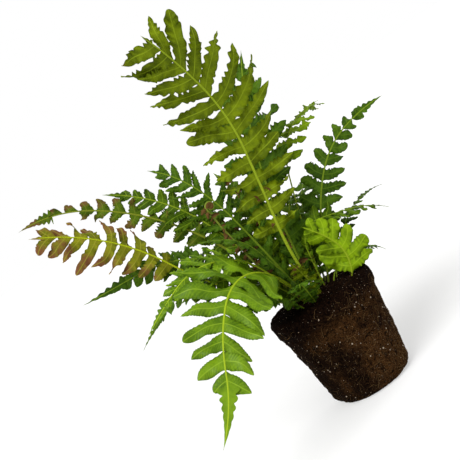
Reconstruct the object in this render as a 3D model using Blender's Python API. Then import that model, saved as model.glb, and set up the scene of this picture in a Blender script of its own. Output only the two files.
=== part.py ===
"""Alpine water fern, lifted out of its pot: a bare root ball with its fronds standing in it.

Metres, +Z up. The origin is the middle of the root ball's flat underside. +X is the plant's
right in the photo and -Y faces the viewer. Sizes named below are in millimetres, angles in degrees.

A frond is one thin closed sheet: a rib with a thicker middle, and leaflets cut to the rib. Each
leaflet that would meet another frond, the root ball or its own neighbours is bent clear of them.
"""

import math
from dataclasses import dataclass

import bpy
import numpy as np
from mathutils.bvhtree import BVHTree

MM = 0.001

# Root ball: the shape of the pot that it grew in
BALL_HEIGHT = 142.0
BALL_RINGS = (
    (0.0, 47.0),
    (3.0, 52.0),
    (12.0, 57.0),
    (44.0, 61.5),
    (76.0, 65.5),
    (104.0, 69.0),
    (114.0, 70.5),
    (117.5, 73.5),
    (134.0, 75.0),
    (140.0, 72.5),
)
SOIL_RINGS = ((139.0, 67.0), (139.5, 50.0), (141.5, 32.0), (142.0, 14.0))
BALL_SIDES = 32
BALL_BUMP = 1.1
SOIL_BUMP = 0.9

# Stems in the soil
HOLE_DEPTH = 13.0
HOLE_ROOM = 0.75
HOLE_SIDES = 6
STEM_FOOT_GAP = 0.4
STRAIGHT_FOOT = 18.0

# Blades
BLADE_HALF = 0.42
RIB_EDGE_HALF = 0.5
PATH_STEPS = 240
STEM_STEP = 44.0
SHORT_LEAFLET = 0.34

# Room that a leaflet keeps to its neighbours while it is bent clear
CLEAR_HALF = 1.5
CLEAR_SIDE = 0.9
CLEAR_FLOOR = 4.0
CLEAR_START = 0.12

# Bends tried in turn: more droop, a turn towards the tip, share of the full length
LEAFLET_BENDS = tuple(
    (droop, turn, share)
    for share in (1.0, 0.82, 0.64, 0.46)
    for droop, turn in (
        (0, 0), (12, 0), (-14, 0), (24, 0), (-28, 0), (0, 9), (36, 0), (-42, 0), (50, 6), (-56, 6),
    )
)
RIB_BENDS = (0, 2, -2, 4, -4, 6, -6, 8, -8, 11, -11, 14, -14)

COLOURS = {
    "olive": (0.165, 0.215, 0.022),
    "bright": (0.110, 0.270, 0.035),
    "lime": (0.235, 0.420, 0.035),
    "dark": (0.022, 0.085, 0.018),
    "green": (0.060, 0.170, 0.022),
    "russet": (0.210, 0.115, 0.035),
    "withered": (0.120, 0.060, 0.030),
    "soil": (0.030, 0.017, 0.010),
}


@dataclass(frozen=True)
class Frond:
    """One frond. The values of lift and side are at equal distances from its foot to its tip."""

    name: str
    colour: str
    foot: tuple  # place in the soil: angle round the middle, distance from it
    length: float
    heading: float  # compass angle that it grows towards: 0 right, 90 away from the viewer
    lift: tuple  # angle of the rib above the horizontal
    side: tuple  # bend of the rib within the blade, to the right as it grows
    roll: float  # turn of the blade about its rib
    stem: float  # share of the length that is bare
    pairs: int
    leaflet: float  # longest leaflet
    envelope: tuple  # share of it at the foot of the blade, place of the longest, share at the tip
    angle: float = 66.0  # leaflets to the rib
    fan: float = 26.0  # how much further leaflets at the foot of the blade stand out than those at its tip
    skew: float = 0.0  # how much further the right leaflets stand out than the left, halved
    curve: float = 14.0  # turn of a leaflet towards the frond's tip over its length
    vary: float = 1.4  # how much the leaflets differ from each other
    droop: float = 12.0
    fill: float = 0.80  # width of a leaflet's base as a share of its room on the rib
    tail: float = 22.0  # undivided tip
    rib: float = 3.2  # thickness of the stem
    steps: int = 2  # lengths of blade in a leaflet, before its tip
    wave: float = 1.2
    blunt: float = 0.62  # width near a leaflet's tip as a share of its widest
    seed: int = 1


FRONDS = (
    Frond("tall_olive_frond", "olive", (290, 8), 425, 272, (88, 84, 78, 66, 48), (4, -10, -8, 13, 22), 0,
          0.25, 14, 82, (0.34, 0.62, 0.56), angle=78, fan=52, skew=8, curve=20, vary=2.2, droop=3, fill=0.86,
          tail=12, rib=4.4, steps=3, wave=2.0, seed=11),
    Frond("hanging_frond", "bright", (232, 26), 362, 230, (80, 30, -30, -50, -46), (0, -2, 0, -3, 16), 46,
          0.24, 9, 67, (0.90, 0.35, 0.38), angle=80, fan=22, curve=30, vary=1.4, droop=4, tail=66, rib=3.4,
          steps=3, wave=0.8, blunt=0.8, seed=12),
    Frond("front_lime_frond", "lime", (322, 52), 112, 0, (60, 84, 112, 124, 128), (0, 0, 0, 0, 0), -82,
          0.18, 6, 35, (0.9, 0.35, 0.5), angle=62, droop=8, fill=0.86, tail=9, rib=2.4, wave=2.2, blunt=0.9,
          seed=13),
    Frond("russet_frond", "russet", (190, 22), 372, 196, (50, 50, 62, 44, 26), (0, 0, 0, 0, 0), 54,
          0.50, 9, 52, (0.50, 0.50, 0.40), angle=66, vary=2.6, droop=20, fill=0.72, tail=16, rib=3.2,
          steps=3, wave=1.8, seed=14),
    Frond("right_tall_frond", "dark", (20, 16), 308, 18, (62, 60, 42, 12, -4), (0, 0, 0, 0, 0), -72,
          0.22, 10, 36, (0.75, 0.30, 0.24), droop=12, tail=40, rib=3.0, blunt=0.85, seed=15),
    Frond("left_upright_frond", "dark", (150, 15), 290, 152, (82, 80, 78, 62, 36), (0, 0, 0, 0, 0), 42,
          0.30, 11, 52, (0.7, 0.40, 0.36), angle=62, droop=10, tail=18, rib=3.2, seed=16),
    Frond("arching_lime_frond", "bright", (240, 14), 285, 204, (64, 66, 24, -18, -26), (0, 0, 0, 0, 0), 40,
          0.38, 8, 42, (0.8, 0.35, 0.24), angle=60, droop=8, tail=40, rib=2.8, wave=1.4,
          seed=17),
    Frond("left_green_frond", "green", (165, 23), 322, 162, (76, 76, 66, 47, 30), (0, 0, 0, 0, 0), 42,
          0.40, 10, 42, (0.7, 0.35, 0.25), droop=12, tail=26, rib=3.0, seed=18),
    Frond("far_left_frond", "dark", (178, 14), 430, 168, (68, 66, 50, 32, 0), (0, 0, 0, 0, 0), 76,
          0.38, 10, 26, (0.9, 0.35, 0.36), droop=10, tail=46, rib=3.4, seed=19),
    Frond("left_level_frond", "dark", (218, 11), 325, 186, (62, 60, 34, 4, 6), (0, 0, 0, 0, 0), 44,
          0.34, 10, 42, (0.7, 0.4, 0.26), droop=14, tail=56, rib=3.0, seed=20),
    Frond("tall_dark_frond", "dark", (95, 8), 365, 84, (84, 82, 76, 66, 52), (6, 8, 16, 22, 26), 0,
          0.26, 9, 60, (0.4, 0.5, 0.34), droop=8, tail=26, rib=3.8, seed=21),
    Frond("right_arching_frond", "green", (352, 13), 212, 8, (84, 80, -14, -20, -46), (0, 0, 0, 0, 0), -12,
          0.34, 8, 28, (0.8, 0.3, 0.40), droop=14, tail=20, rib=2.4, seed=22),
    Frond("right_thin_frond", "dark", (12, 28), 185, 30, (56, 34, 25, 4, -18), (0, 0, 0, 0, 0), -10,
          0.42, 6, 20, (0.8, 0.3, 0.2), droop=14, tail=40, rib=2.2, seed=23),
    Frond("young_sparse_frond", "lime", (62, 16), 326, 40, (66, 68, 62, 20, -8), (0, 0, 0, 0, 0), -10,
          0.56, 6, 34, (0.7, 0.4, 0.6), fill=0.70, droop=20, tail=14, rib=2.6, wave=2.2, seed=24),
    Frond("arching_dark_frond", "dark", (212, 28), 262, 184, (64, 54, 22, -20, -32), (0, 0, 0, 0, 0), 24,
          0.30, 9, 34, (0.8, 0.3, 0.24), droop=16, tail=44, rib=2.6, seed=25),
    Frond("toothed_dark_frond", "dark", (255, 24), 205, 208, (74, 74, 70, 30, 16), (0, 0, 0, 0, 0), 24,
          0.18, 7, 38, (0.8, 0.3, 0.24), droop=14, tail=24, rib=2.4, seed=26),
    Frond("back_short_frond", "green", (75, 24), 180, 60, (70, 68, 60, 30, -40), (0, 0, 0, 0, 0), 0,
          0.20, 7, 38, (0.8, 0.35, 0.24), droop=14, tail=20, rib=2.6, seed=27),
    Frond("back_right_frond", "dark", (55, 31), 235, 64, (62, 52, 36, 18, -6), (0, 0, 0, 0, 0), -14,
          0.30, 8, 42, (0.8, 0.35, 0.24), droop=14, tail=22, rib=2.6, seed=28),
    Frond("back_left_frond", "green", (125, 24), 290, 122, (70, 64, 50, 26, -6), (0, 0, 0, 0, 0), 6,
          0.22, 8, 46, (0.8, 0.35, 0.24), droop=14, tail=24, rib=2.8, seed=29),
    Frond("right_low_frond", "dark", (340, 20), 112, 8, (56, 12, 2, -36, -60), (0, 0, 0, 0, 0), -16,
          0.40, 5, 24, (0.9, 0.3, 0.3), droop=14, tail=14, rib=2.2, seed=30),
    Frond("young_upright_frond", "lime", (110, 16), 168, 80, (88, 82, 80, 76, 70), (-14, -10, 6, 10, 14), 0,
          0.40, 6, 26, (0.7, 0.4, 0.3), droop=10, tail=14, rib=2.2, seed=31),
    Frond("withered_frond", "withered", (140, 25), 200, 140, (84, 80, 72, 56, 10), (0, 0, 0, 0, 0), 10,
          0.44, 5, 18, (0.9, 0.4, 0.5), fill=0.6, droop=34, tail=10, rib=2.2, wave=2.4, seed=32),
    Frond("low_olive_frond", "olive", (285, 20), 88, 250, (66, 64, 60, 50, 40), (0, 0, 0, 0, 0), 0,
          0.30, 5, 22, (0.9, 0.3, 0.35), droop=20, tail=8, rib=2.0, seed=33),
    Frond("low_dark_frond", "dark", (236, 36), 118, 214, (60, 50, 24, 4, -14), (0, 0, 0, 0, 0), 24,
          0.24, 6, 32, (0.9, 0.3, 0.4), droop=16, tail=9, rib=2.0, seed=34),
    Frond("low_left_frond", "dark", (258, 40), 92, 262, (64, 56, 30, 4, -16), (0, 0, 0, 0, 0), 0,
          0.28, 5, 28, (0.9, 0.3, 0.4), droop=16, tail=9, rib=2.0, seed=35),
    Frond("middle_left_frond", "green", (222, 18), 196, 196, (64, 58, 34, 10, -6), (0, 0, 0, 0, 0), 42,
          0.22, 7, 38, (0.8, 0.35, 0.3), droop=14, tail=18, rib=2.4, seed=36),
    Frond("centre_green_frond", "green", (98, 31), 236, 104, (84, 82, 76, 60, 30), (0, 0, 0, 0, 0), 0,
          0.15, 9, 38, (0.7, 0.35, 0.3), droop=14, tail=18, rib=2.6, seed=37),
)

# The young frond that is still rolled up
CROZIER_FOOT = (200, 29)
CROZIER_LENGTH = 186.0
CROZIER_HEADING = 200.0
CROZIER_LIFT = 77.5
CROZIER_RIB = 2.6
COIL_RADIUS = 6.6
COIL_TURNS = 1.45
COIL_PITCH = 3.1
COIL_STEPS = 15


# Small helpers

def unit(vectors):
    """Vectors scaled to a length of one, along the last axis."""
    return vectors / np.linalg.norm(vectors, axis=-1, keepdims=True)


def along_rib(values, share):
    """A value at each share of the rib, from values given at equal distances from foot to tip."""
    return np.interp(share, np.linspace(0, 1, len(values)), values)


def soil_height(x, y):
    """Height of the soil at a place near the middle, in millimetres."""
    distance = math.hypot(x, y)
    rings = SOIL_RINGS[::-1]
    return float(np.interp(distance, [ring[1] for ring in rings], [ring[0] for ring in rings]))


def foot_point(foot):
    """The foot of a stem: a little above the floor of its hole."""
    angle, distance = foot
    x = distance * math.cos(math.radians(angle))
    y = distance * math.sin(math.radians(angle))
    return np.array([x, y, soil_height(x, y) - HOLE_DEPTH + STEM_FOOT_GAP])


# Closed sheets

class Sheet:
    """Points of a thin sheet with their half thickness, and its triangles seen from above."""

    def __init__(self):
        self.points = []
        self.halves = []
        self.faces = []

    def add(self, point, half):
        self.points.append(point)
        self.halves.append(half)
        return len(self.points) - 1

    def quad(self, low, low_out, high_out, high):
        self.faces.append((low, low_out, high_out))
        self.faces.append((low, high_out, high))

    def size(self):
        return len(self.points), len(self.faces)

    def cut_back(self, size):
        """Drops what was added since the sheet had this size."""
        del self.points[size[0]:]
        del self.halves[size[0]:]
        del self.faces[size[1]:]

    def closed(self):
        """Both faces of the sheet and a wall along each open edge."""
        points = np.array(self.points)
        halves = np.array(self.halves)
        count = len(points)
        faces = np.array(self.faces)
        sides = {}
        for face in self.faces:
            for start, end in zip(face, face[1:] + face[:1]):
                sides[(start, end)] = True
        walls = []
        for start, end in sides:
            if (end, start) not in sides:
                walls.append((start, start + count, end + count))
                walls.append((start, end + count, end))
        both = np.concatenate([faces, faces[:, ::-1] + count, np.array(walls)])
        return np.concatenate([points + halves, points - halves]), both


# Ribs

def blade_frame(frond, share, lean):
    """Directions along the rib, to the blade's right and out of its upper face, at each share."""
    heading = math.radians(frond.heading)
    lift = np.radians(along_rib(frond.lift, share))[:, None]
    side = np.radians(along_rib(frond.side, share) + lean * share)[:, None]
    roll = math.radians(frond.roll)
    out = np.array([math.cos(heading), math.sin(heading), 0.0])
    across = np.array([math.sin(heading), -math.cos(heading), 0.0])
    middle = np.cos(lift) * out + np.sin(lift) * np.array([0.0, 0.0, 1.0])
    upper = np.cross(np.broadcast_to(across, middle.shape), middle)
    across = across * math.cos(roll) + upper * math.sin(roll)
    along = np.cos(side) * middle + np.sin(side) * across
    right = np.cos(side) * across - np.sin(side) * middle
    return along, right, np.cross(right, along)


def rib_path(frond, lean):
    """Finely spaced points along the rib with their directions, and the share of the length at each."""
    share = np.linspace(0, 1, PATH_STEPS + 1)
    straight = STRAIGHT_FOOT / frond.length
    bending = np.clip((share - straight) / (1 - straight), 0, 1)
    along, right, upper = blade_frame(frond, bending, lean)
    steps = (along[1:] + along[:-1]) * 0.5 * frond.length / PATH_STEPS
    points = foot_point(frond.foot) + np.concatenate([np.zeros((1, 3)), np.cumsum(steps, axis=0)])
    return share, points, along, right, upper


def at_share(path, share):
    """Point, direction along, direction to the right and upper normal at one share of the length."""
    found = []
    for values in path[1:]:
        found.append(np.array([np.interp(share, path[0], values[:, axis]) for axis in range(3)]))
    return found[0], unit(found[1]), unit(found[2]), unit(found[3])


def rib_shares(frond):
    """Shares of the length at which the rib has a cross section, and those that bound a leaflet."""
    straight = STRAIGHT_FOOT / frond.length
    steps = max(2, round(frond.stem * frond.length / STEM_STEP))
    stem = [0.0] + list(np.linspace(straight, frond.stem, steps))
    tail = 1 - frond.tail / frond.length
    room = (tail - frond.stem) / frond.pairs
    bases = []
    for pair in range(frond.pairs):
        low = frond.stem + (pair + 0.5 * (1 - frond.fill)) * room
        bases.append((low, low + frond.fill * room))
    return stem, bases, tail


def rib_half_width(frond, share):
    """Half the width of the rib: a stem that thins towards the tip."""
    return frond.rib * 0.5 * (1 - 0.62 * share) + 0.15


def rib_half_depth(frond, share):
    """Half the thickness of the rib in its middle."""
    return frond.rib * 0.5 * (1 - 0.66 * share)


def tail_half_width(frond, share, start):
    """Half the width of the undivided tip: widest just past its start, pointed at its end."""
    along = (share - start) / (1 - start)
    widest = frond.tail * 0.11 + 0.9
    return widest * (1 - along) ** 0.8 * (0.6 + 0.8 * min(along * 4, 1) * 0.5)


def add_section(sheet, frond, path, share, half_width, room=0.0):
    """A cross section of the rib: its left edge, its thicker middle and its right edge."""
    point, _, right, upper = at_share(path, share)
    depth = max(rib_half_depth(frond, share), BLADE_HALF * 1.2) + room
    edge = min(RIB_EDGE_HALF + 0.15 * frond.rib * (share < frond.stem), depth) + room * 0.5
    width = half_width + room
    return (
        sheet.add(point - right * width, upper * edge),
        sheet.add(point, upper * depth),
        sheet.add(point + right * width, upper * edge),
    )


def join_sections(sheet, low, high):
    sheet.quad(low[0], low[1], high[1], high[0])
    sheet.quad(low[1], low[2], high[2], high[1])


def add_rib(sheet, frond, path, room=0.0):
    """The whole rib as a strip of three columns, and the sections that bound each pair of leaflets."""
    stem, bases, tail = rib_shares(frond)
    sections = [add_section(sheet, frond, path, share, rib_half_width(frond, share), room) for share in stem]
    bounds = []
    for low, high in bases:
        for share in (low, high):
            sections.append(add_section(sheet, frond, path, share, rib_half_width(frond, share), room))
        bounds.append((sections[-2], sections[-1]))
    for part in (0.0, 0.3, 0.68):
        share = tail + part * (1 - tail)
        sections.append(
            add_section(sheet, frond, path, share, tail_half_width(frond, share, tail), room)
        )
    for low, high in zip(sections[:-1], sections[1:]):
        join_sections(sheet, low, high)
    point, _, _, upper = at_share(path, 1.0)
    tip = sheet.add(point, upper * (BLADE_HALF + room * 0.5))
    last = sections[-1]
    sheet.faces.append((last[0], last[1], tip))
    sheet.faces.append((last[1], last[2], tip))
    return bounds


# Leaflets

def leaflet_length(frond, place):
    """Full length of a leaflet at a place along the blade, 0 at its foot and 1 at its tip."""
    first, peak, last = frond.envelope
    return frond.leaflet * float(np.interp(place, (0, peak, 1), (first, 1, last)))


def leaflet_width(frond, room, part, length):
    """Half the width of a leaflet at a part of its length, less on a leaflet that is short."""
    body = min(0.5 * room * frond.fill, SHORT_LEAFLET * length)
    return body * float(np.interp(part, (0.0, 0.3, 0.9, 1.0), (0.96, 1.0, frond.blunt, 0.5 * frond.blunt)))


def leaflet_shape(frond, frame, side, length, angle, droop, wave):
    """Edge points and half thickness directions along one leaflet, and its tip.

    frame is the rib's point and directions, side 1 for the right and -1 for the left. The leaflet
    curves towards the frond's tip and hangs more the further out it is; its edges rise and fall in
    turn.
    """
    point, along, right, upper = frame
    out = right * side
    parts = np.linspace(0, 1, frond.steps + 2)[1:]
    parts = parts ** 0.92
    step = np.diff(np.concatenate([[0.0], parts])) * length
    place = point
    rows = []
    for index, part in enumerate(parts):
        middle = part - 0.5 * step[index] / length
        turn = math.radians(angle - frond.curve * middle)
        hang = math.radians(droop * (0.45 + 1.1 * middle))
        flat = along * math.cos(turn) + out * math.sin(turn)
        place = place + step[index] * (flat * math.cos(hang) - upper * math.sin(hang))
        turn = math.radians(angle - frond.curve * part)
        hang = math.radians(droop * (0.45 + 1.1 * part))
        flat = along * math.cos(turn) + out * math.sin(turn)
        across = math.pi / 2 - (math.pi / 2 - turn) * min(1.0, 1.5 * part)
        edge = along * math.sin(across) - out * math.cos(across)
        face = upper * math.cos(hang) + flat * math.sin(hang)
        lifted = wave * (-1) ** index * min(1.0, length / 40)
        rows.append((part, place, edge, face, lifted, length))
    return rows


def add_leaflet(sheet, frond, rows, roots, side, room, half, extra=0.0):
    """Faces of one leaflet on the rib's two root points."""
    low, high = roots
    for part, place, edge, face, lifted, length in rows[:-1]:
        width = leaflet_width(frond, room, part, length) + extra
        low_out = sheet.add(place - edge * width + face * lifted, face * half)
        high_out = sheet.add(place + edge * width - face * lifted, face * half)
        if side > 0:
            sheet.quad(low, low_out, high_out, high)
        else:
            sheet.quad(high, high_out, low_out, low)
        low, high = low_out, high_out
    _, place, edge, face, _, _ = rows[-1]
    tip = sheet.add(place + edge * extra, face * half)
    sheet.faces.append((low, tip, high) if side > 0 else (high, tip, low))


# Keeping clear

class Neighbours:
    """Everything built so far, for finding whether a shape would meet it."""

    def __init__(self):
        self.points = np.zeros((0, 3))
        self.faces = np.zeros((0, 3), dtype=int)
        self.tree = None

    def add(self, points, faces):
        self.faces = np.concatenate([self.faces, faces + len(self.points)])
        self.points = np.concatenate([self.points, points])
        self.tree = None

    def meets(self, points, faces):
        if self.tree is None and len(self.faces):
            self.tree = BVHTree.FromPolygons(self.points.tolist(), self.faces.tolist())
        if self.tree is None:
            return False
        return bool(self.tree.overlap(BVHTree.FromPolygons(points.tolist(), faces.tolist())))


def crosses_itself(points, faces):
    """Whether two triangles that share no point meet."""
    tree = BVHTree.FromPolygons(points.tolist(), faces.tolist())
    corners = [set(face) for face in faces.tolist()]
    for first, second in tree.overlap(tree):
        if first < second and not corners[first] & corners[second]:
            return True
    return False


def clear_rib(frond, neighbours):
    """The path of a rib, leaning a little more to a side where it would meet an earlier rib."""
    for lean in RIB_BENDS:
        path = rib_path(frond, lean)
        trial = Sheet()
        add_rib(trial, frond, path, room=0.8)
        points, faces = trial.closed()
        if not neighbours.meets(points, faces):
            return path
    return None


def leaflet_candidates(frond, draws, length, place, side):
    """The bends to try for one leaflet, the first its own."""
    stand = frond.angle + frond.fan * (0.5 - place) + frond.skew * side
    for droop, turn, share in LEAFLET_BENDS:
        angle = stand + draws[0] * 4 * frond.vary - turn
        hang = frond.droop + draws[1] * 5 * frond.vary + droop
        yield angle, hang, length * share * (1 + draws[2] * 0.06 * frond.vary)


def trial_leaflet(frond, rows, path_point, roots, side, room):
    """A thicker and wider copy of a leaflet past its root, as a closed sheet."""
    trial = Sheet()
    point, along, right, _ = path_point
    start = point + right * side * (rib_half_width(frond, 0.5) + CLEAR_START * 10)
    low = trial.add(start - along * roots * 0.8, rows[0][3] * CLEAR_HALF * 0.5)
    high = trial.add(start + along * roots * 0.8, rows[0][3] * CLEAR_HALF * 0.5)
    add_leaflet(trial, frond, rows, (low, high), side, room, CLEAR_HALF, CLEAR_SIDE)
    return trial.closed()


def build_frond(frond, path, others):
    """One frond as a closed sheet, its leaflets bent clear of the others and of each other."""
    sheet = Sheet()
    bounds = add_rib(sheet, frond, path)
    _, bases, tail = rib_shares(frond)
    room = (tail - frond.stem) / frond.pairs * frond.length
    draws = np.random.default_rng(frond.seed).uniform(-1, 1, (frond.pairs, 2, 3))
    own = Neighbours()
    left_out = 0
    for pair, (low, high) in enumerate(bases):
        middle = at_share(path, (low + high) / 2)
        place = (pair + 0.5) / frond.pairs
        length = leaflet_length(frond, place)
        base = middle[1] * room * frond.fill * 0.5
        kept = []
        for side in (-1, 1):
            column = 0 if side < 0 else 2
            roots = (bounds[pair][0][column], bounds[pair][1][column])
            found = None
            change = draws[pair, (side + 1) // 2]
            for angle, hang, full in leaflet_candidates(frond, change, length, place, side):
                rows = leaflet_shape(frond, middle, side, full, angle, hang, frond.wave)
                points, faces = trial_leaflet(frond, rows, middle, room * frond.fill * 0.5, side, room)
                if points[:, 2].min() < CLEAR_FLOOR:
                    continue
                if others.meets(points, faces) or own.meets(points, faces):
                    continue
                size = sheet.size()
                add_leaflet(sheet, frond, rows, roots, side, room, BLADE_HALF)
                if crosses_itself(*sheet.closed()):
                    sheet.cut_back(size)
                    continue
                found = rows
                break
            if found is None:
                left_out += 1
                continue
            plain = Sheet()
            start = middle[0] + middle[2] * side * (rib_half_width(frond, 0.5) + 0.4)
            ends = (
                plain.add(start - base * 0.9, found[0][3] * BLADE_HALF),
                plain.add(start + base * 0.9, found[0][3] * BLADE_HALF),
            )
            add_leaflet(plain, frond, found, ends, side, room, BLADE_HALF)
            kept.append(plain.closed())
        for points, faces in kept:
            own.add(points, faces)
    if left_out:
        print(frond.name, "has", left_out, "leaflets fewer")
    return sheet.closed()


# Root ball

def bump(angle, height, seed):
    """Smooth lumps of the root ball: a sum of waves round it and up it, between about -1 and 1."""
    draws = np.random.default_rng(seed).uniform(0, 2 * math.pi, 6)
    return (
        0.34 * np.sin(3 * angle + 0.041 * height + draws[0])
        + 0.28 * np.sin(7 * angle - 0.067 * height + draws[1])
        + 0.22 * np.sin(11 * angle + 0.113 * height + draws[2])
        + 0.16 * np.sin(5 * angle + 0.190 * height + draws[3])
    )


def ball_rings():
    """Rings of points of the root ball, from its underside up and in over the soil."""
    angles = np.linspace(0, 2 * math.pi, BALL_SIDES, endpoint=False)
    rings = []
    for height, radius in BALL_RINGS:
        share = min(1.0, height / 12.0)
        radii = radius + BALL_BUMP * share * bump(angles, height, 5)
        heights = np.full(BALL_SIDES, height)
        rings.append(np.stack([radii * np.cos(angles), radii * np.sin(angles), heights], axis=1))
    for height, radius in SOIL_RINGS:
        heights = height + SOIL_BUMP * (radius > 40) * bump(angles, radius, 6)
        radii = np.full(BALL_SIDES, radius)
        rings.append(np.stack([radii * np.cos(angles), radii * np.sin(angles), heights], axis=1))
    return rings


def ball_mesh():
    """The root ball's closed surface before its stem holes."""
    rings = ball_rings()
    points = np.concatenate(rings + [[[0.0, 0.0, 0.0]], [[0.0, 0.0, BALL_HEIGHT]]])
    faces = []
    for ring in range(len(rings) - 1):
        for side in range(BALL_SIDES):
            here = ring * BALL_SIDES + side
            beside = ring * BALL_SIDES + (side + 1) % BALL_SIDES
            faces.append((here, beside, beside + BALL_SIDES))
            faces.append((here, beside + BALL_SIDES, here + BALL_SIDES))
    foot, crown = len(points) - 2, len(points) - 1
    last = (len(rings) - 1) * BALL_SIDES
    for side in range(BALL_SIDES):
        beside = (side + 1) % BALL_SIDES
        faces.append((foot, beside, side))
        faces.append((crown, last + side, last + beside))
    return points, np.array(faces)


# The rolled frond

def crozier_frame(turned):
    """Directions of the crozier's stem at angles of its rib above the horizontal, in radians."""
    heading = math.radians(CROZIER_HEADING)
    out = np.array([math.cos(heading), math.sin(heading), 0.0])
    up = np.array([0.0, 0.0, 1.0])
    turned = np.asarray(turned)[:, None]
    along = np.cos(turned) * out + np.sin(turned) * up
    upper = np.cos(turned) * up - np.sin(turned) * out
    return along, upper, np.array([math.sin(heading), -math.cos(heading), 0.0])


def crozier_mesh():
    """A bare stem that ends in a flat coil of shrinking radius, as a closed strip."""
    lift = math.radians(CROZIER_LIFT)
    stem_steps = 5
    stem_turn = np.linspace(lift, lift + 0.10, stem_steps + 1)
    along, upper, across = crozier_frame(stem_turn)
    points = [foot_point(CROZIER_FOOT)]
    for step in range(stem_steps):
        points.append(points[-1] + along[step] * CROZIER_LENGTH / stem_steps)
    turns = list(stem_turn)
    for step in range(COIL_STEPS):
        part = (step + 0.5) / COIL_STEPS
        turned = 2 * math.pi * COIL_TURNS / COIL_STEPS
        radius = COIL_RADIUS - COIL_PITCH * COIL_TURNS * part
        middle = stem_turn[-1] + 2 * math.pi * COIL_TURNS * part
        direction, _, _ = crozier_frame([middle])
        points.append(points[-1] + direction[0] * 2 * radius * math.sin(turned / 2))
        turns.append(stem_turn[-1] + 2 * math.pi * COIL_TURNS * (step + 1) / COIL_STEPS)
    _, upper, across = crozier_frame(turns)
    sheet = Sheet()
    sections = []
    for index, point in enumerate(points):
        rolled = max(0, index - stem_steps) / COIL_STEPS
        half = CROZIER_RIB * 0.5 * (1 - 0.35 * rolled)
        sections.append((
            sheet.add(point - across * half, upper[index] * half * 0.5),
            sheet.add(point, upper[index] * half),
            sheet.add(point + across * half, upper[index] * half * 0.5),
        ))
    for low, high in zip(sections[:-1], sections[1:]):
        join_sections(sheet, low, high)
    return sheet.closed()


# Blender objects

def new_material(name):
    """A Principled material in one of the plant's colours."""
    material = bpy.data.materials.new(name)
    material.use_nodes = True
    shader = material.node_tree.nodes["Principled BSDF"]
    shader.inputs["Base Color"].default_value = (*COLOURS[name.split("_")[0]], 1.0)
    shader.inputs["Roughness"].default_value = 0.95 if name.startswith("soil") else 0.45
    shader.inputs["Metallic"].default_value = 0.0
    return material


def new_object(name, points, faces, colour):
    """A mesh object in metres from points in millimetres."""
    mesh = bpy.data.meshes.new(name)
    mesh.from_pydata((points * MM).tolist(), [], faces.tolist())
    mesh.validate()
    mesh.materials.append(new_material(colour + "_" + name))
    obj = bpy.data.objects.new(name, mesh)
    bpy.context.scene.collection.objects.link(obj)
    return obj


def hole_cutter(collection, foot, direction, stem_half):
    """A prism round a stem, from the floor of its hole to well above the soil."""
    axis = unit(direction)
    across = unit(np.cross(axis, np.array([1.0, 0.2, 0.0])))
    beside = np.cross(axis, across)
    radius = stem_half + HOLE_ROOM
    start = foot_point(foot) - axis * STEM_FOOT_GAP
    corners = []
    for height in (0.0, HOLE_DEPTH * 2):
        for side in range(HOLE_SIDES):
            angle = 2 * math.pi * (side + 0.5) / HOLE_SIDES
            reach = across * math.cos(angle) + beside * math.sin(angle)
            corners.append(start + axis * height + reach * radius)
    lower = list(range(HOLE_SIDES))
    upper = [HOLE_SIDES + side for side in lower]
    faces = [tuple(lower[::-1]), tuple(upper)]
    for side in lower:
        beside_it = (side + 1) % HOLE_SIDES
        faces.append((side, beside_it, HOLE_SIDES + beside_it, HOLE_SIDES + side))
    mesh = bpy.data.meshes.new("stem_hole")
    mesh.from_pydata([tuple(corner * MM) for corner in corners], [], faces)
    obj = bpy.data.objects.new("stem_hole", mesh)
    collection.objects.link(obj)


def cut_stem_holes(ball, stems):
    """Cuts the holes of all stems from the root ball, and removes the cutters."""
    cutters = bpy.data.collections.new("stem_holes")
    bpy.context.scene.collection.children.link(cutters)
    for foot, direction, stem_half in stems:
        hole_cutter(cutters, foot, direction, stem_half)
    modifier = ball.modifiers.new("stem holes", "BOOLEAN")
    modifier.operation = "DIFFERENCE"
    modifier.operand_type = "COLLECTION"
    modifier.collection = cutters
    modifier.solver = "EXACT"
    graph = bpy.context.evaluated_depsgraph_get()
    cut = bpy.data.meshes.new_from_object(ball.evaluated_get(graph))
    ball.modifiers.clear()
    ball.data = cut
    for obj in list(cutters.objects):
        bpy.data.objects.remove(obj)
    bpy.data.collections.remove(cutters)


def main():
    for obj in list(bpy.data.objects):
        bpy.data.objects.remove(obj)
    ball_points, ball_faces = ball_mesh()
    coil_points, coil_faces = crozier_mesh()
    ribs = Neighbours()
    ribs.add(coil_points, coil_faces)
    paths = {}
    stems = [(CROZIER_FOOT, crozier_frame([math.radians(CROZIER_LIFT)])[0][0], CROZIER_RIB * 0.5)]
    for frond in FRONDS:
        path = clear_rib(frond, ribs)
        if path is None:
            print(frond.name, "has no clear way")
            path = rib_path(frond, 0)
        bare = Sheet()
        add_rib(bare, frond, path)
        ribs.add(*bare.closed())
        paths[frond.name] = (path, bare.closed())
        stems.append((frond.foot, path[2][0], frond.rib * 0.5 + 0.15))
    placed = Neighbours()
    placed.add(ball_points, ball_faces)
    placed.add(coil_points, coil_faces)
    for frond in FRONDS:
        others = Neighbours()
        others.add(placed.points, placed.faces)
        for name, (_, bare) in paths.items():
            if name != frond.name:
                others.add(*bare)
        points, faces = build_frond(frond, paths[frond.name][0], others)
        placed.add(points, faces)
        new_object(frond.name, points, faces, frond.colour)
    new_object("crozier", coil_points, coil_faces, "green")
    ball = new_object("root_ball", ball_points, ball_faces, "soil")
    cut_stem_holes(ball, stems)


main()
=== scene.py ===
"""Alpine water fern with its bare root ball, dressed for the picture.

Every frond is a rib with a groove and leaflets with scalloped, ruffled edges, veins and a raised
midrib. The root ball is packed soil with fine roots, white grit and crumbs, and the stems carry
brown scales where they leave it. Sizes are in millimetres until a mesh is made.
"""

import math
from dataclasses import dataclass
from itertools import combinations

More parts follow.
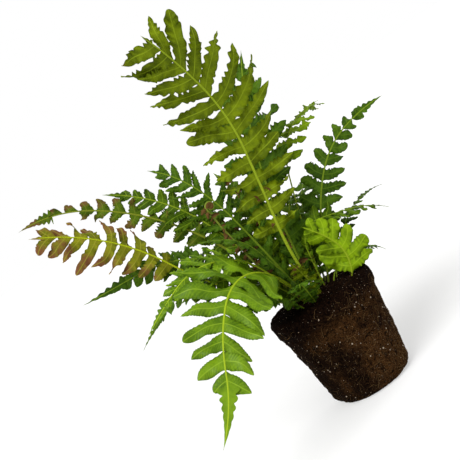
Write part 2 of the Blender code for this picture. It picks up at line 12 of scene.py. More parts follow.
import bpy
import numpy as np
from mathutils import Matrix


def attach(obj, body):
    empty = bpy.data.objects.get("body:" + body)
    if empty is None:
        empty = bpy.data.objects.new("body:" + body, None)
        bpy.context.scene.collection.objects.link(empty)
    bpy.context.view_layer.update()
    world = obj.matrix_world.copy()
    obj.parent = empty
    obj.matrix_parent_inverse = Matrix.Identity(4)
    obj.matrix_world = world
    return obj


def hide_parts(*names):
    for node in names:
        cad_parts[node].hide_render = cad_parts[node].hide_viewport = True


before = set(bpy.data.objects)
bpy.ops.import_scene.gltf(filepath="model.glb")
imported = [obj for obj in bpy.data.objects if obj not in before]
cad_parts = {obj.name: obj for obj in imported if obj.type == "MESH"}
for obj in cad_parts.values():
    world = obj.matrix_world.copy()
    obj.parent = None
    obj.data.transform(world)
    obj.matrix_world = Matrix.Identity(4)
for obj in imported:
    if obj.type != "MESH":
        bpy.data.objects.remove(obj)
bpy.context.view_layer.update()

MM = 0.001

# Root ball: its rings are pairs of height and radius, up its side and then in over the soil
BALL_HEIGHT = 142.0
BALL_RINGS = (
    (0.0, 47.0), (3.0, 52.0), (12.0, 57.0), (44.0, 61.5), (76.0, 65.5), (104.0, 69.0), (114.0, 70.5),
    (117.5, 73.5), (134.0, 75.0), (140.0, 72.5),
)
SOIL_RINGS = ((139.0, 67.0), (139.5, 50.0), (141.5, 32.0), (142.0, 14.0))
BALL_BUMP = 1.1  # height of the large lumps
BALL_SEED = 5
BALL_WAVES = ((0.34, 3, 0.041), (0.28, 7, -0.067), (0.22, 11, 0.113), (0.16, 5, 0.190))  # size, round, up
HOLE_DEPTH = 13.0
STEM_FOOT_GAP = 0.4

# Rings of points over the underside, the side and the soil, and the points of each
UNDERSIDE_RINGS = 12
SIDE_RINGS = 118
SOIL_TOP_RINGS = 46
RING_POINTS = 320

# What is scattered over the plant: its number, the seed of its places and the seed of its shapes
ROOT_THREADS = (1500, 41)
GRIT_GRAINS = (900, 42, 43)
SOIL_CRUMBS = (520, 44, 45)
SCALES_PER_STEM = 34
SCALE_SEED = 900  # added to a frond's own seed
SCALY_FOOT = 70.0  # length of stem that carries scales
THREAD_STEPS = 12
GRAIN_FLATNESS = 0.75
SCRAPS = (  # frond, first and last share of its length, number, seed
    ("tall_olive_frond", 0.10, 0.46, 20, 46),
    ("centre_green_frond", 0.15, 0.85, 14, 47),
)

# The hash behind the noise
HASH_PRIMES = (73856093, 19349663, 83492791)
HASH_SEED = 2654435
HASH_MIXER = 1274126177

# Stems and ribs
PATH_STEPS = 240
STRAIGHT_FOOT = 18.0
STEM_SIDES = 12
OFF_VEINS = 9.0  # so far from a midrib, a stem shows no veins
RIB_BENDS = (0, 2, -2, 4, -4, 6, -6, 8, -8, 11, -11, 14, -14)  # leans that a packed frond may have

# Leaflets
LEAFLET_SEED = 500  # added to a frond's own seed
BLADE_HALF = 0.42  # half the thickness of a packed blade
TIP_MATCH = 0.2  # a packed leaflet's corner is nearer than this to where it is worked out
LONG_LEAFLET = 34.0  # from here on a leaflet has the finer grid
FULL_RUFFLE = 45.0  # from here on its edge has the whole ruffle
FULL_SCALLOP = 70.0  # from here on its scallops have their whole length
SHORT_LEAFLET = 0.34  # most half width of a leaflet, as a share of its length
LEAFLET_BENDS = tuple(  # droop and turn in degrees, and share of the length, that a packed leaflet may have
    (droop, turn, share)
    for share in (1.0, 0.82, 0.64, 0.46)
    for droop, turn in (
        (0, 0), (12, 0), (-14, 0), (24, 0), (-28, 0), (0, 9), (36, 0), (-42, 0), (50, 6), (-56, 6),
    )
)

# Columns of points across a blade, from one edge to the other
LONG_COLUMNS = np.array([-1, -0.86, -0.62, -0.34, -0.14, -0.05, 0.05, 0.14, 0.34, 0.62, 0.86, 1.0])
SHORT_COLUMNS = np.array([-1, -0.66, -0.3, -0.08, 0.08, 0.3, 0.66, 1.0])
TAIL_COLUMNS = np.array([-1, -0.6, -0.2, 0.2, 0.6, 1.0])
WILTED_COLUMNS = np.array([-1, -0.5, 0.0, 0.5, 1.0])
COILED_COLUMNS = np.array([-1, -0.4, 0.0, 0.4, 1.0])

# Rolled young frond
CROZIER_FOOT = (200, 29)  # angle round the middle and distance from it
CROZIER_LENGTH = 186.0
CROZIER_HEADING = 200.0
CROZIER_LIFT = 77.5
CROZIER_RIB = 2.6
CROZIER_SEED = 77
COIL_RADIUS = 6.6
COIL_TURNS = 1.45
COIL_PITCH = 3.1
COIL_STEPS = 72
STEM_STEPS = 40
STEM_BEND = 0.10  # in radians

# Camera, floor and lights, in metres, degrees and, for the lens, millimetres
CAMERA_PLACE = (-0.04777, -1.18412, 0.37586)
CAMERA_LENS = 72
CAMERA_DIP = 5
CAMERA_ROLL = 34
FLOOR_HALF = 40.0
LIGHTS = (  # name, bearing, elevation, spread, strength
    ("key", 238, 50, 38, 3.3),
    ("fill", 330, 25, 60, 0.7),
    ("back", 60, 40, 60, 0.8),
)

ATTRIBUTES = ("reach", "tint", "stalk", "vein_along", "vein_across", "crest", "edge")
UP = np.array([0.0, 0.0, 1.0])


@dataclass(frozen=True)
class Habit:
    """How the edge and the surface of a frond's leaflets look."""

    scallop: float  # length of one scallop along the edge
    notch: float  # depth of the notches as a share of the half width
    ruffle: float  # rise and fall of the edge
    sway: float  # slow twist of the whole leaflet
    fold: float  # sink of the edges below the midrib, as a share of the half width
    stray: float  # how far the blade bows and waves, as a share of its length
    twist: float  # turn of the blade about its midrib, in radians
    blunt: float  # 2 for a long point, 7 for a round end
    midrib: float  # height of the midrib
    web: float  # how far the blade runs on along the rib from a leaflet's root
    swell: float  # width of a leaflet against its room on the rib


HABITS = {
    "ruffled": Habit(11.0, 0.25, 3.3, 2.6, 0.05, 0.058, 0.72, 2.7, 0.50, 5.5, 1.20),
    "broad": Habit(4.6, 0.045, 0.60, 3.2, 0.22, 0.045, 0.40, 2.5, 0.42, 7.5, 1.12),
    "lobed": Habit(12.0, 0.20, 1.7, 2.4, 0.16, 0.060, 0.45, 5.0, 0.40, 11.0, 1.46),
    "strap": Habit(13.0, 0.16, 1.7, 2.4, 0.14, 0.085, 0.95, 2.8, 0.45, 3.0, 1.02),
    "toothed": Habit(7.5, 0.25, 1.8, 1.5, 0.10, 0.045, 0.45, 2.8, 0.30, 3.6, 1.10),
    "ragged": Habit(7.0, 0.34, 2.6, 3.0, 0.22, 0.075, 1.25, 2.4, 0.30, 4.0, 1.00),
    "comb": Habit(7.0, 0.24, 1.5, 1.6, 0.12, 0.055, 0.50, 2.3, 0.25, 3.6, 0.84),
    "plain": Habit(8.5, 0.26, 2.0, 1.9, 0.12, 0.060, 0.75, 3.4, 0.30, 3.6, 1.10),
    "cut": Habit(4.4, 0.62, 1.6, 1.4, 0.10, 0.050, 0.45, 3.0, 0.30, 2.6, 1.15),
    "crumpled": Habit(5.0, 0.34, 2.2, 2.4, 0.30, 0.100, 1.20, 3.0, 0.30, 1.0, 1.0),
}


@dataclass(frozen=True)
class Frond:
    """One frond. The values of lift and side are at equal distances from its foot to its tip."""

    name: str
    leaf: str  # finish
    habit: str
    foot: tuple  # angle round the middle and distance from it
    length: float
    heading: float  # direction that it leans in
    lift: tuple  # rise above the horizontal
    roll: float  # turn of the blade about the rib
    stem: float  # bare share of the length
    pairs: int
    leaflet: float  # length of the longest leaflet
    envelope: tuple  # first leaflet's share of that, place of the longest, last one's share
    side: tuple = (0, 0, 0, 0, 0)  # bend to the right
    angle: float = 66.0  # of the leaflets to the rib
    fan: float = 26.0  # how much wider they stand at the foot than at the tip
    skew: float = 0.0  # how much wider they stand on the right than on the left
    curve: float = 14.0  # bend of a leaflet towards the tip
    vary: float = 1.4  # how unlike each other they are
    droop: float = 12.0
    fill: float = 0.80  # width of a leaflet's foot as a share of its room
    tail: float = 22.0  # length of the undivided end
    rib: float = 3.2  # width of the rib at the foot
    steps: int = 2  # straight lengths of a packed leaflet, less one
    seed: int = 1


# Pairs of short leaflets on the stem, below the large ones
SHORT_PAIRS = {
    "right_tall_frond": 5, "left_upright_frond": 6, "left_level_frond": 6, "tall_dark_frond": 7,
    "centre_green_frond": 4, "back_short_frond": 4, "back_right_frond": 6, "back_left_frond": 5,
    "left_green_frond": 5, "toothed_dark_frond": 4, "low_dark_frond": 3, "low_left_frond": 3,
    "middle_left_frond": 4, "right_arching_frond": 4, "arching_dark_frond": 4, "young_upright_frond": 5,
    "low_olive_frond": 2, "right_low_frond": 3,
}


FRONDS = (
    Frond("tall_olive_frond", "olive_leaf", "ruffled", (290, 8), 425, 272, (88, 84, 78, 66, 48), 0, 0.25,
          14, 82, (0.34, 0.62, 0.56), side=(4, -10, -8, 13, 22), angle=78, fan=52, skew=8, curve=20,
          vary=2.2, droop=3, fill=0.86, tail=12, rib=4.4, steps=3, seed=11),
    Frond("hanging_frond", "bright_leaf", "broad", (232, 26), 362, 230, (80, 30, -30, -50, -46), 46, 0.24,
          9, 67, (0.90, 0.35, 0.38), side=(0, -2, 0, -3, 16), angle=80, fan=22, curve=30, vary=1.4, droop=4,
          tail=66, rib=3.4, steps=3, seed=12),
    Frond("front_lime_frond", "lime_leaf", "lobed", (322, 52), 112, 0, (60, 84, 112, 124, 128), -82, 0.18,
          6, 35, (0.90, 0.35, 0.50), angle=62, droop=8, fill=0.86, tail=9, rib=2.4, seed=13),
    Frond("russet_frond", "russet_leaf", "strap", (190, 22), 372, 196, (50, 50, 62, 44, 26), 54, 0.50, 9,
          52, (0.50, 0.50, 0.40), angle=66, vary=2.6, droop=20, fill=0.72, tail=16, rib=3.2, steps=3,
          seed=14),
    Frond("right_tall_frond", "dark_leaf", "plain", (20, 16), 308, 18, (62, 60, 42, 12, -4), -72, 0.22, 10,
          36, (0.75, 0.30, 0.24), droop=12, tail=40, rib=3, seed=15),
    Frond("left_upright_frond", "dark_leaf", "comb", (150, 15), 290, 152, (82, 80, 78, 62, 36), 42, 0.30,
          11, 52, (0.70, 0.40, 0.36), angle=62, droop=10, tail=18, rib=3.2, seed=16),
    Frond("arching_lime_frond", "bright_leaf", "toothed", (240, 14), 285, 204, (64, 66, 24, -18, -26), 40,
          0.38, 8, 42, (0.80, 0.35, 0.24), angle=60, droop=8, tail=40, rib=2.8, seed=17),
    Frond("left_green_frond", "green_leaf", "toothed", (165, 23), 322, 162, (76, 76, 66, 47, 30), 42, 0.40,
          10, 42, (0.70, 0.35, 0.25), droop=12, tail=26, rib=3, seed=18),
    Frond("far_left_frond", "bronze_leaf", "ragged", (178, 14), 430, 168, (68, 66, 50, 32, 0), 76, 0.38, 10,
          26, (0.90, 0.35, 0.36), droop=10, tail=46, rib=3.4, seed=19),
    Frond("left_level_frond", "dark_leaf", "ruffled", (218, 11), 325, 186, (62, 60, 34, 4, 6), 44, 0.34, 10,
          42, (0.70, 0.40, 0.26), droop=14, tail=56, rib=3, seed=20),
    Frond("tall_dark_frond", "dark_leaf", "ruffled", (95, 8), 365, 84, (84, 82, 76, 66, 52), 0, 0.26, 9, 60,
          (0.40, 0.50, 0.34), side=(6, 8, 16, 22, 26), droop=8, tail=26, rib=3.8, seed=21),
    Frond("right_arching_frond", "green_leaf", "toothed", (352, 13), 212, 8, (84, 80, -14, -20, -46), -12,
          0.34, 8, 28, (0.80, 0.30, 0.40), droop=14, tail=20, rib=2.4, seed=22),
    Frond("right_thin_frond", "dark_leaf", "toothed", (12, 28), 185, 30, (56, 34, 25, 4, -18), -10, 0.42, 6,
          20, (0.80, 0.30, 0.20), droop=14, tail=40, rib=2.2, seed=23),
    Frond("young_sparse_frond", "lime_leaf", "ruffled", (62, 16), 326, 40, (66, 68, 62, 20, -8), -10, 0.56,
          6, 34, (0.70, 0.40, 0.60), fill=0.70, droop=20, tail=14, rib=2.6, seed=24),
    Frond("arching_dark_frond", "dark_leaf", "toothed", (212, 28), 262, 184, (64, 54, 22, -20, -32), 24,
          0.30, 9, 34, (0.80, 0.30, 0.24), droop=16, tail=44, rib=2.6, seed=25),
    Frond("toothed_dark_frond", "dark_leaf", "toothed", (255, 24), 205, 208, (74, 74, 70, 30, 16), 24, 0.18,
          7, 38, (0.80, 0.30, 0.24), droop=14, tail=24, rib=2.4, seed=26),
    Frond("back_short_frond", "green_leaf", "ruffled", (75, 24), 180, 60, (70, 68, 60, 30, -40), 0, 0.20, 7,
          38, (0.80, 0.35, 0.24), droop=14, tail=20, rib=2.6, seed=27),
    Frond("back_right_frond", "dark_leaf", "plain", (55, 31), 235, 64, (62, 52, 36, 18, -6), -14, 0.30, 8,
          42, (0.80, 0.35, 0.24), droop=14, tail=22, rib=2.6, seed=28),
    Frond("back_left_frond", "green_leaf", "toothed", (125, 24), 290, 122, (70, 64, 50, 26, -6), 6, 0.22, 8,
          46, (0.80, 0.35, 0.24), droop=14, tail=24, rib=2.8, seed=29),
    Frond("right_low_frond", "dark_leaf", "toothed", (340, 20), 112, 8, (56, 12, 2, -36, -60), -16, 0.40, 5,
          24, (0.90, 0.30, 0.30), droop=14, tail=14, rib=2.2, seed=30),
    Frond("young_upright_frond", "lime_leaf", "plain", (110, 16), 168, 80, (88, 82, 80, 76, 70), 0, 0.40, 6,
          26, (0.70, 0.40, 0.30), side=(-14, -10, 6, 10, 14), droop=10, tail=14, rib=2.2, seed=31),
    Frond("withered_frond", "withered_leaf", "crumpled", (140, 25), 200, 140, (84, 80, 72, 56, 10), 10,
          0.44, 5, 18, (0.90, 0.40, 0.50), fill=0.60, droop=34, tail=10, rib=2.2, seed=32),
    Frond("low_olive_frond", "olive_leaf", "cut", (285, 20), 88, 250, (66, 64, 60, 50, 40), 0, 0.30, 5, 22,
          (0.90, 0.30, 0.35), droop=20, tail=8, rib=2, seed=33),
    Frond("low_dark_frond", "dark_leaf", "plain", (236, 36), 118, 214, (60, 50, 24, 4, -14), 24, 0.24, 6,
          32, (0.90, 0.30, 0.40), droop=16, tail=9, rib=2, seed=34),
    Frond("low_left_frond", "dark_leaf", "cut", (258, 40), 92, 262, (64, 56, 30, 4, -16), 0, 0.28, 5, 28,
          (0.90, 0.30, 0.40), droop=16, tail=9, rib=2, seed=35),
    Frond("middle_left_frond", "green_leaf", "toothed", (222, 18), 196, 196, (64, 58, 34, 10, -6), 42, 0.22,
          7, 38, (0.80, 0.35, 0.30), droop=14, tail=18, rib=2.4, seed=36),
    Frond("centre_green_frond", "green_leaf", "plain", (98, 31), 236, 104, (84, 82, 76, 60, 30), 0, 0.15, 9,
          38, (0.70, 0.35, 0.30), droop=14, tail=18, rib=2.6, seed=37),
)


@dataclass(frozen=True)
class Leaf:
    """A leaf finish: its colours, and how its surface looks."""

    deep: tuple
    light: tuple
    vein: tuple
    midrib: tuple
    stalk: tuple
    brown: tuple
    browning: tuple  # reach at which browning starts, and over how much it spreads
    roughness: float
    gloss: float
    spacing: float = 2.2  # distance between side veins
    relief: float = 0.5  # height of the swellings between them
    swelling_highlight: float = 0.35  # painted highlight on the swellings between the veins: how much lighter they are
    edge_shade: float = 0.4  # painted shade along the very edge, where it curls down: how dark it is


LEAVES = {
    "olive_leaf": Leaf(
        (0.042, 0.068, 0.0004), (0.170, 0.232, 0.0030), (0.18, 0.24, 0.006), (0.24, 0.32, 0.012),
        (0.30, 0.40, 0.018), (0.12, 0.07, 0.010), (0.96, 0.2), 0.5, 0.07, edge_shade=0.3),
    "bright_leaf": Leaf(
        (0.046, 0.110, 0.0010), (0.150, 0.265, 0.0060), (0.16, 0.28, 0.010), (0.23, 0.36, 0.018),
        (0.34, 0.47, 0.014), (0.16, 0.11, 0.02), (1.05, 0.2), 0.42, 0.12, 2.6, 0.3, 0.18),
    "lime_leaf": Leaf(
        (0.040, 0.085, 0.0006), (0.190, 0.312, 0.0034), (0.24, 0.36, 0.010), (0.25, 0.37, 0.012),
        (0.26, 0.36, 0.014), (0.20, 0.14, 0.02), (1.05, 0.2), 0.5, 0.06, 2.4),
    "dark_leaf": Leaf(
        (0.009, 0.034, 0.0006), (0.066, 0.138, 0.0052), (0.08, 0.15, 0.006), (0.085, 0.155, 0.008),
        (0.17, 0.26, 0.014), (0.08, 0.05, 0.015), (1.02, 0.2), 0.46, 0.06),
    "bronze_leaf": Leaf(
        (0.016, 0.040, 0.0006), (0.078, 0.135, 0.0040), (0.11, 0.13, 0.010), (0.13, 0.16, 0.012),
        (0.18, 0.22, 0.014), (0.125, 0.066, 0.020), (0.42, 0.42), 0.5, 0.05),
    "green_leaf": Leaf(
        (0.014, 0.040, 0.0004), (0.074, 0.138, 0.0024), (0.12, 0.20, 0.006), (0.16, 0.25, 0.012),
        (0.22, 0.31, 0.014), (0.13, 0.08, 0.02), (1.0, 0.2), 0.46, 0.06),
    "russet_leaf": Leaf(
        (0.085, 0.105, 0.0020), (0.215, 0.225, 0.0090), (0.24, 0.20, 0.03), (0.27, 0.26, 0.026),
        (0.40, 0.48, 0.010), (0.172, 0.072, 0.027), (0.32, 0.50), 0.55, 0.05, 3.2),
    "withered_leaf": Leaf(
        (0.044, 0.024, 0.005), (0.170, 0.098, 0.026), (0.12, 0.06, 0.03), (0.14, 0.07, 0.03),
        (0.13, 0.09, 0.02), (0.095, 0.050, 0.012), (0.4, 0.5), 0.7, 0.04),
    "young_stem": Leaf(
        (0.040, 0.022, 0.005), (0.160, 0.090, 0.026), (0.12, 0.07, 0.03), (0.12, 0.07, 0.02),
        (0.20, 0.26, 0.03), (0.105, 0.052, 0.015), (0.3, 0.5), 0.55, 0.05),
}
STEM_FOOT_BROWN = (0.055, 0.028, 0.008)

# Dark colour, light colour and roughness
GRAINS = {
    "roots": ((0.015, 0.007, 0.002), (0.240, 0.145, 0.058), 0.9),
    "grit": ((0.15, 0.105, 0.062), (0.58, 0.49, 0.38), 0.8),
    "crumbs": ((0.0016, 0.0008, 0.0005), (0.022, 0.010, 0.004), 0.95),
    "scales": ((0.020, 0.009, 0.003), (0.120, 0.055, 0.018), 0.7),
}

# Dark and light of the soil's black, also its painted shade, and of its brown, also its painted light,
# then its fibres, its pits, which are painted shade, and pale specks
SOIL_BLACK_AND_SHADE = ((0.0016, 0.0007, 0.0004), (0.016, 0.0070, 0.0036))
SOIL_BROWN_AND_LIGHT = ((0.0090, 0.0030, 0.0007), (0.072, 0.031, 0.0088))
SOIL_FIBRE = (0.110, 0.056, 0.022)
SOIL_PIT_SHADE = (0.0012, 0.0006, 0.0004)
SOIL_SPECK = (0.24, 0.17, 0.10)


# Small helpers

def unit(vectors):
    """Vectors scaled to a length of one, along the last axis."""
    return vectors / np.linalg.norm(vectors, axis=-1, keepdims=True)


def evenly(values, share):
    """A value at each share, from values given at equal distances."""
    return np.interp(share, np.linspace(0, 1, len(values)), values)


def running_sum(steps, share):
    """Points reached by following the directions steps over the shares, by the trapezium rule."""
    pieces = 0.5 * (steps[1:] + steps[:-1]) * np.diff(share)[:, None]
    return np.concatenate([np.zeros((1, 3)), np.cumsum(pieces, axis=0)])


def round_middle(distance, angle, height):
    """Points at a distance from the plant's middle line, at an angle round it and a height."""
    return np.stack([distance * np.cos(angle), distance * np.sin(angle), height + 0 * angle], axis=-1)


def lattice_noise(points, size, seed):
    """Value noise between -1 and 1: random values on a cubic lattice of the given size, blended smoothly.

    Each lattice corner's value is a hash of its three whole coordinates and the seed.
    """
    cell = points / size
    base = np.floor(cell).astype(np.int64)
    part = cell - base
    part = part * part * (3 - 2 * part)
    total = np.zeros(len(points))
    for corner in range(8):
        step = np.array([corner & 1, (corner >> 1) & 1, (corner >> 2) & 1])
        hashed = (base + step) * np.array(HASH_PRIMES)
        key = hashed[:, 0] ^ hashed[:, 1] ^ hashed[:, 2] ^ (seed * HASH_SEED)
        key = (key ^ (key >> 13)) * HASH_MIXER & 0xFFFFFFFF
        value = ((key ^ (key >> 16)) & 0xFFFF) / 32767.5 - 1
        total += value * np.prod(np.where(step, part, 1 - part), axis=1)
    return total


# Gathering surfaces into one mesh

class Surfaces:
    """Surfaces gathered for one piece, with the values at each point that its finish reads.

    reach is 0 at the rib and 1 at a leaflet's end, tint is a leaflet's own shade, stalk is 1 on ribs
    and stems, vein_along and vein_across are the distances along the midrib and away from it, crest
    is 1 on top of a ruffle and -1 in its hollow and carries painted light on the tops and painted
    shade in the hollows, and edge is 0 at the midrib and 1 at the edge.
    """

    def __init__(self):
        self.points = []
        self.faces = []
        self.margin = []
        self.values = []
        self.count = 0

    def add(self, points, faces, margin=None, **values):
        """One closed surface. margin marks the points of a thin edge, which is shaded sharp."""
        rows = np.zeros((len(points), len(ATTRIBUTES)))
        for label, value in values.items():
            rows[:, ATTRIBUTES.index(label)] = value
        self.points.append(points)
        self.values.append(rows)
        self.margin.append(np.zeros(len(points), bool) if margin is None else margin)
        self.faces.extend(face + self.count for face in faces)
        self.count += len(points)

    def add_blade(self, made, share, length, near, gain, tint, **grids):
        """One blade, with reach = near + gain * share. The grids hold values at its rows and columns."""
        points, faces, margin, offset, spot, row = made
        values = {label: grid.reshape(-1)[spot] for label, grid in grids.items()}
        self.add(points, faces, margin, reach=near + gain * share[row], tint=tint,
                 vein_along=share[row] * length, vein_across=offset, **values)

    def piece(self, name, nodes, slot, material):
        """The mesh object, riding on the root body and standing for its CAD nodes."""
        mesh = bpy.data.meshes.new(name)
        faces = [face for block in self.faces for face in block.tolist()]
        mesh.from_pydata((np.concatenate(self.points) * MM).tolist(), [], faces)
        mesh.update(calc_edges=True)
        ends = np.empty(len(mesh.edges) * 2, np.int32)
        mesh.edges.foreach_get("vertices", ends)
        margin = np.concatenate(self.margin)[ends.reshape(-1, 2)].all(axis=1)
        mesh.edges.foreach_set("use_edge_sharp", margin)
        mesh.polygons.foreach_set("use_smooth", np.ones(len(mesh.polygons), bool))
        values = np.concatenate(self.values)
        for column, label in enumerate(ATTRIBUTES):
            layer = mesh.attributes.new(label, "FLOAT", "POINT")
            layer.data.foreach_set("value", values[:, column].astype(np.float32))
        mesh.materials.append(material)
        made = bpy.data.objects.new(name, mesh)
        bpy.context.scene.collection.objects.link(made)
        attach(made, "root")
        if nodes:
            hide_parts(*nodes)


def closed_rings(count, sides):
    """Faces between rings of points, and the fans that close the first and the last ring.

    The two end points come after the rings. The faces point outwards where the rings run clockwise,
    seen from ahead on the path.
    """
    ring, spot = np.meshgrid(np.arange(count - 1), np.arange(sides), indexing="ij")
    here = ring * sides + spot
    beside = ring * sides + (spot + 1) % sides
    walls = np.stack([here, here + sides, beside + sides, beside], axis=-1).reshape(-1, 4)
    spot = np.arange(sides)
    after = (spot + 1) % sides
    first = np.full(sides, count * sides)
    end = (count - 1) * sides
    caps = np.concatenate([
        np.stack([first, spot, after], axis=-1),
        np.stack([first + 1, end + after, end + spot], axis=-1),
    ])
    return [walls, caps]


def tube(centre, right, upper, half_width, half_depth, sides, groove=0.0):
    """An ellipse carried along a path, its two ends closed.

    Point = centre + right * half_width * cos(a) + upper * half_depth * sin(a), pressed in on top
    by the groove.
    """
    angle = np.linspace(0, 2 * math.pi, sides, endpoint=False) + math.pi / 2
    dent = 1 - groove * np.clip(np.sin(angle), 0, 1) * np.exp(-((np.cos(angle) / 0.4) ** 2))
    wide = (half_width[:, None] * np.cos(angle))[..., None]
    deep = (half_depth[:, None] * (np.sin(angle) * dent))[..., None]
    rings = centre[:, None] + right[:, None] * wide + upper[:, None] * deep
    points = np.concatenate([rings.reshape(-1, 3), centre[:1], centre[-1:]])
    return points, closed_rings(len(centre), sides)


def blade(centre, across, face, left, right, columns, height, half):
    """A closed leaf blade on a grid, thin at its edge.

    Point = centre(u) + across(u) * v * width(u) + face(u) * (height(u, v) +- half(u, v)), where v runs
    from -1 to 1 over the columns. The two faces share the points of the edge. It gives the points and
    faces, which points are on the edge, and each point's distance from the midrib, place on the grid
    and row.
    """
    rows = len(centre)
    wide = len(columns)
    width = np.where(columns[None, :] < 0, left[:, None], right[:, None]) * columns[None, :]
    middle = centre[:, None] + across[:, None] * width[..., None] + face[:, None] * height[..., None]
    edge = np.zeros((rows, wide), bool)
    edge[[0, -1], :] = True
    edge[:, [0, -1]] = True
    half = np.where(edge, 0.0, half)
    top = (middle + face[:, None] * half[..., None]).reshape(-1, 3)
    low = (middle - face[:, None] * half[..., None]).reshape(-1, 3)
    inner = ~edge.reshape(-1)
    above = np.arange(rows * wide)
    below = above.copy()
    below[inner] = rows * wide + np.arange(inner.sum())
    row, column = np.meshgrid(np.arange(rows - 1), np.arange(wide - 1), indexing="ij")
    here = (row * wide + column).reshape(-1)
    quads = np.stack([here, here + wide, here + wide + 1, here + 1], axis=-1)
    if np.dot(np.cross(centre[1] - centre[0], across[0]), face[0]) < 0:
        quads = quads[:, ::-1]
    points = np.concatenate([top, low[inner]])
    margin = np.concatenate([~inner, np.zeros(inner.sum(), bool)])
    spot = np.concatenate([above, np.flatnonzero(inner)])
    return points, [above[quads], below[quads[:, ::-1]]], margin, width.reshape(-1)[spot], spot, spot // wide


def sheet_half(thick, columns, share):
    """Half the thickness of a plain blade, which thins to its edge: thick * (1 - |v|^3)."""
    return thick * (1 - np.abs(columns[None, :]) ** 3) + 0 * share[:, None]


# Fronds

def soil_level(distance):
    """Height of the soil at a distance from the middle, read off in straight lines between its rings."""
    rings = SOIL_RINGS[::-1]
    return np.interp(distance, [ring[1] for ring in rings], [ring[0] for ring in rings])


def foot_point(foot):
    """The foot of a stem, a little above the floor of its hole."""
    angle, distance = foot
    x = distance * math.cos(math.radians(angle))
    y = distance * math.sin(math.radians(angle))
    return np.array([x, y, soil_level(math.hypot(x, y)) - HOLE_DEPTH + STEM_FOOT_GAP])


def rib_path(frond, lean):
    """Finely spaced points along the rib with its directions: along, to the right, out of the upper face.

    Along = cos(side) * (cos(lift) * out + sin(lift) * up) + sin(side) * right, where the roll has turned
    right about the rib, and lift and side change from the end of the straight foot to the tip. The
    points are the running sum of along * length.
    """
    share = np.linspace(0, 1, PATH_STEPS + 1)
    straight = STRAIGHT_FOOT / frond.length
    bending = np.clip((share - straight) / (1 - straight), 0, 1)
    heading = math.radians(frond.heading)
    lift = np.radians(evenly(frond.lift, bending))[:, None]
    side = np.radians(evenly(frond.side, bending) + lean * bending)[:, None]
    roll = math.radians(frond.roll)
    out = np.array([math.cos(heading), math.sin(heading), 0.0])
    across = np.array([math.sin(heading), -math.cos(heading), 0.0])
    middle = np.cos(lift) * out + np.sin(lift) * UP
    upper = np.cross(np.broadcast_to(across, middle.shape), middle)
    across = across * math.cos(roll) + upper * math.sin(roll)
    along = np.cos(side) * middle + np.sin(side) * across
    right = np.cos(side) * across - np.sin(side) * middle
    points = foot_point(frond.foot) + running_sum(along, share) * frond.length
    return share, points, along, right, np.cross(right, along)


def on_rib(path, share):
    """Points and directions of the rib at an array of shares of its length."""
    found = []
    for values in path[1:]:
        found.append(np.stack([np.interp(share, path[0], values[:, axis]) for axis in range(3)], axis=-1))
    return found[0], unit(found[1]), unit(found[2]), unit(found[3])


def at_rib(path, share):
    """Point and directions of the rib at one share of its length."""
    return [values[0] for values in on_rib(path, np.array([share]))]


def nearest(points, place):
    """Distance from a place to the nearest of the points."""
    return float(np.sqrt(((points - place) ** 2).sum(axis=1).min()))


def packed_path(frond, corners):
    """The rib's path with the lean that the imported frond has: the one that ends on a packed corner."""
    tries = []
    for lean in RIB_BENDS:
        path = rib_path(frond, lean)
        tries.append((nearest(corners, path[1][-1] + path[4][-1] * BLADE_HALF), lean, path))
    return min(tries, key=lambda found: found[0])[2]


def rib_half_width(frond, share):
    """Half the width of the rib, which thins towards the tip: half the rib * (1 - 0.62 * share) + 0.15."""
    return frond.rib * 0.5 * (1 - 0.62 * share) + 0.15


def bent(here, side, turn, hang):
    """Directions of a leaflet that stands at an angle to the rib and hangs: along it, and out of its face."""
    _, along, right, upper = here
    flat = along * np.cos(turn) + right * side * np.sin(turn)
    return flat * np.cos(hang) - upper * np.sin(hang), upper * np.cos(hang) + flat * np.sin(hang)


def leaflet_course(here, side, length, angle, droop, curve, share):
    """Middle line, direction across and face normal along a leaflet.

    It stands at angle - curve * share to the rib and hangs by droop * (0.45 + 1.1 * share), and its
    points are the running sum of its direction * length. At its root it lies across the rib's own line.
    """
    point, along, right, _ = here
    turn = np.radians(angle - curve * share)[:, None]
    ahead, face = bent(here, side, turn, np.radians(droop * (0.45 + 1.1 * share))[:, None])
    slant = math.pi / 2 - (math.pi / 2 - turn) * np.minimum(1.0, 1.5 * share)[:, None]
    edge = along * np.sin(slant) - right * side * np.cos(slant)
    return point + running_sum(ahead, share) * length, edge, face


def packed_tip(here, side, length, angle, droop, frond):
    """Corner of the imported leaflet's tip: its middle line followed in a few straight lengths."""
    parts = np.linspace(0, 1, frond.steps + 2)[1:] ** 0.92
    step = np.diff(np.concatenate([[0.0], parts]))
    middle = parts - 0.5 * step
    turn = np.radians(angle - frond.curve * middle)[:, None]
    ahead, _ = bent(here, side, turn, np.radians(droop * (0.45 + 1.1 * middle))[:, None])
    _, face = bent(here, side, math.radians(angle - frond.curve), math.radians(droop * 1.55))
    return here[0] + (ahead * step[:, None]).sum(axis=0) * length + face * BLADE_HALF


def packed_bend(frond, here, side, place, draws, corners):
    """Length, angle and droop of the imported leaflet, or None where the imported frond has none.

    place is 0 at the foot of the blade and 1 at its tip.
    """
    first, peak, last = frond.envelope
    length = frond.leaflet * float(np.interp(place, (0, peak, 1), (first, 1, last)))
    stand = frond.angle + frond.fan * (0.5 - place) + frond.skew * side
    tries = []
    for droop, turn, share in LEAFLET_BENDS:
        full = length * share * (1 + draws[2] * 0.06 * frond.vary)
        angle = stand + draws[0] * 4 * frond.vary - turn
        hang = frond.droop + draws[1] * 5 * frond.vary + droop
        tip = packed_tip(here, side, full, angle, hang, frond)
        tries.append((nearest(corners, tip), full, angle, hang))
    found = min(tries)
    return found[1:] if found[0] < TIP_MATCH else None


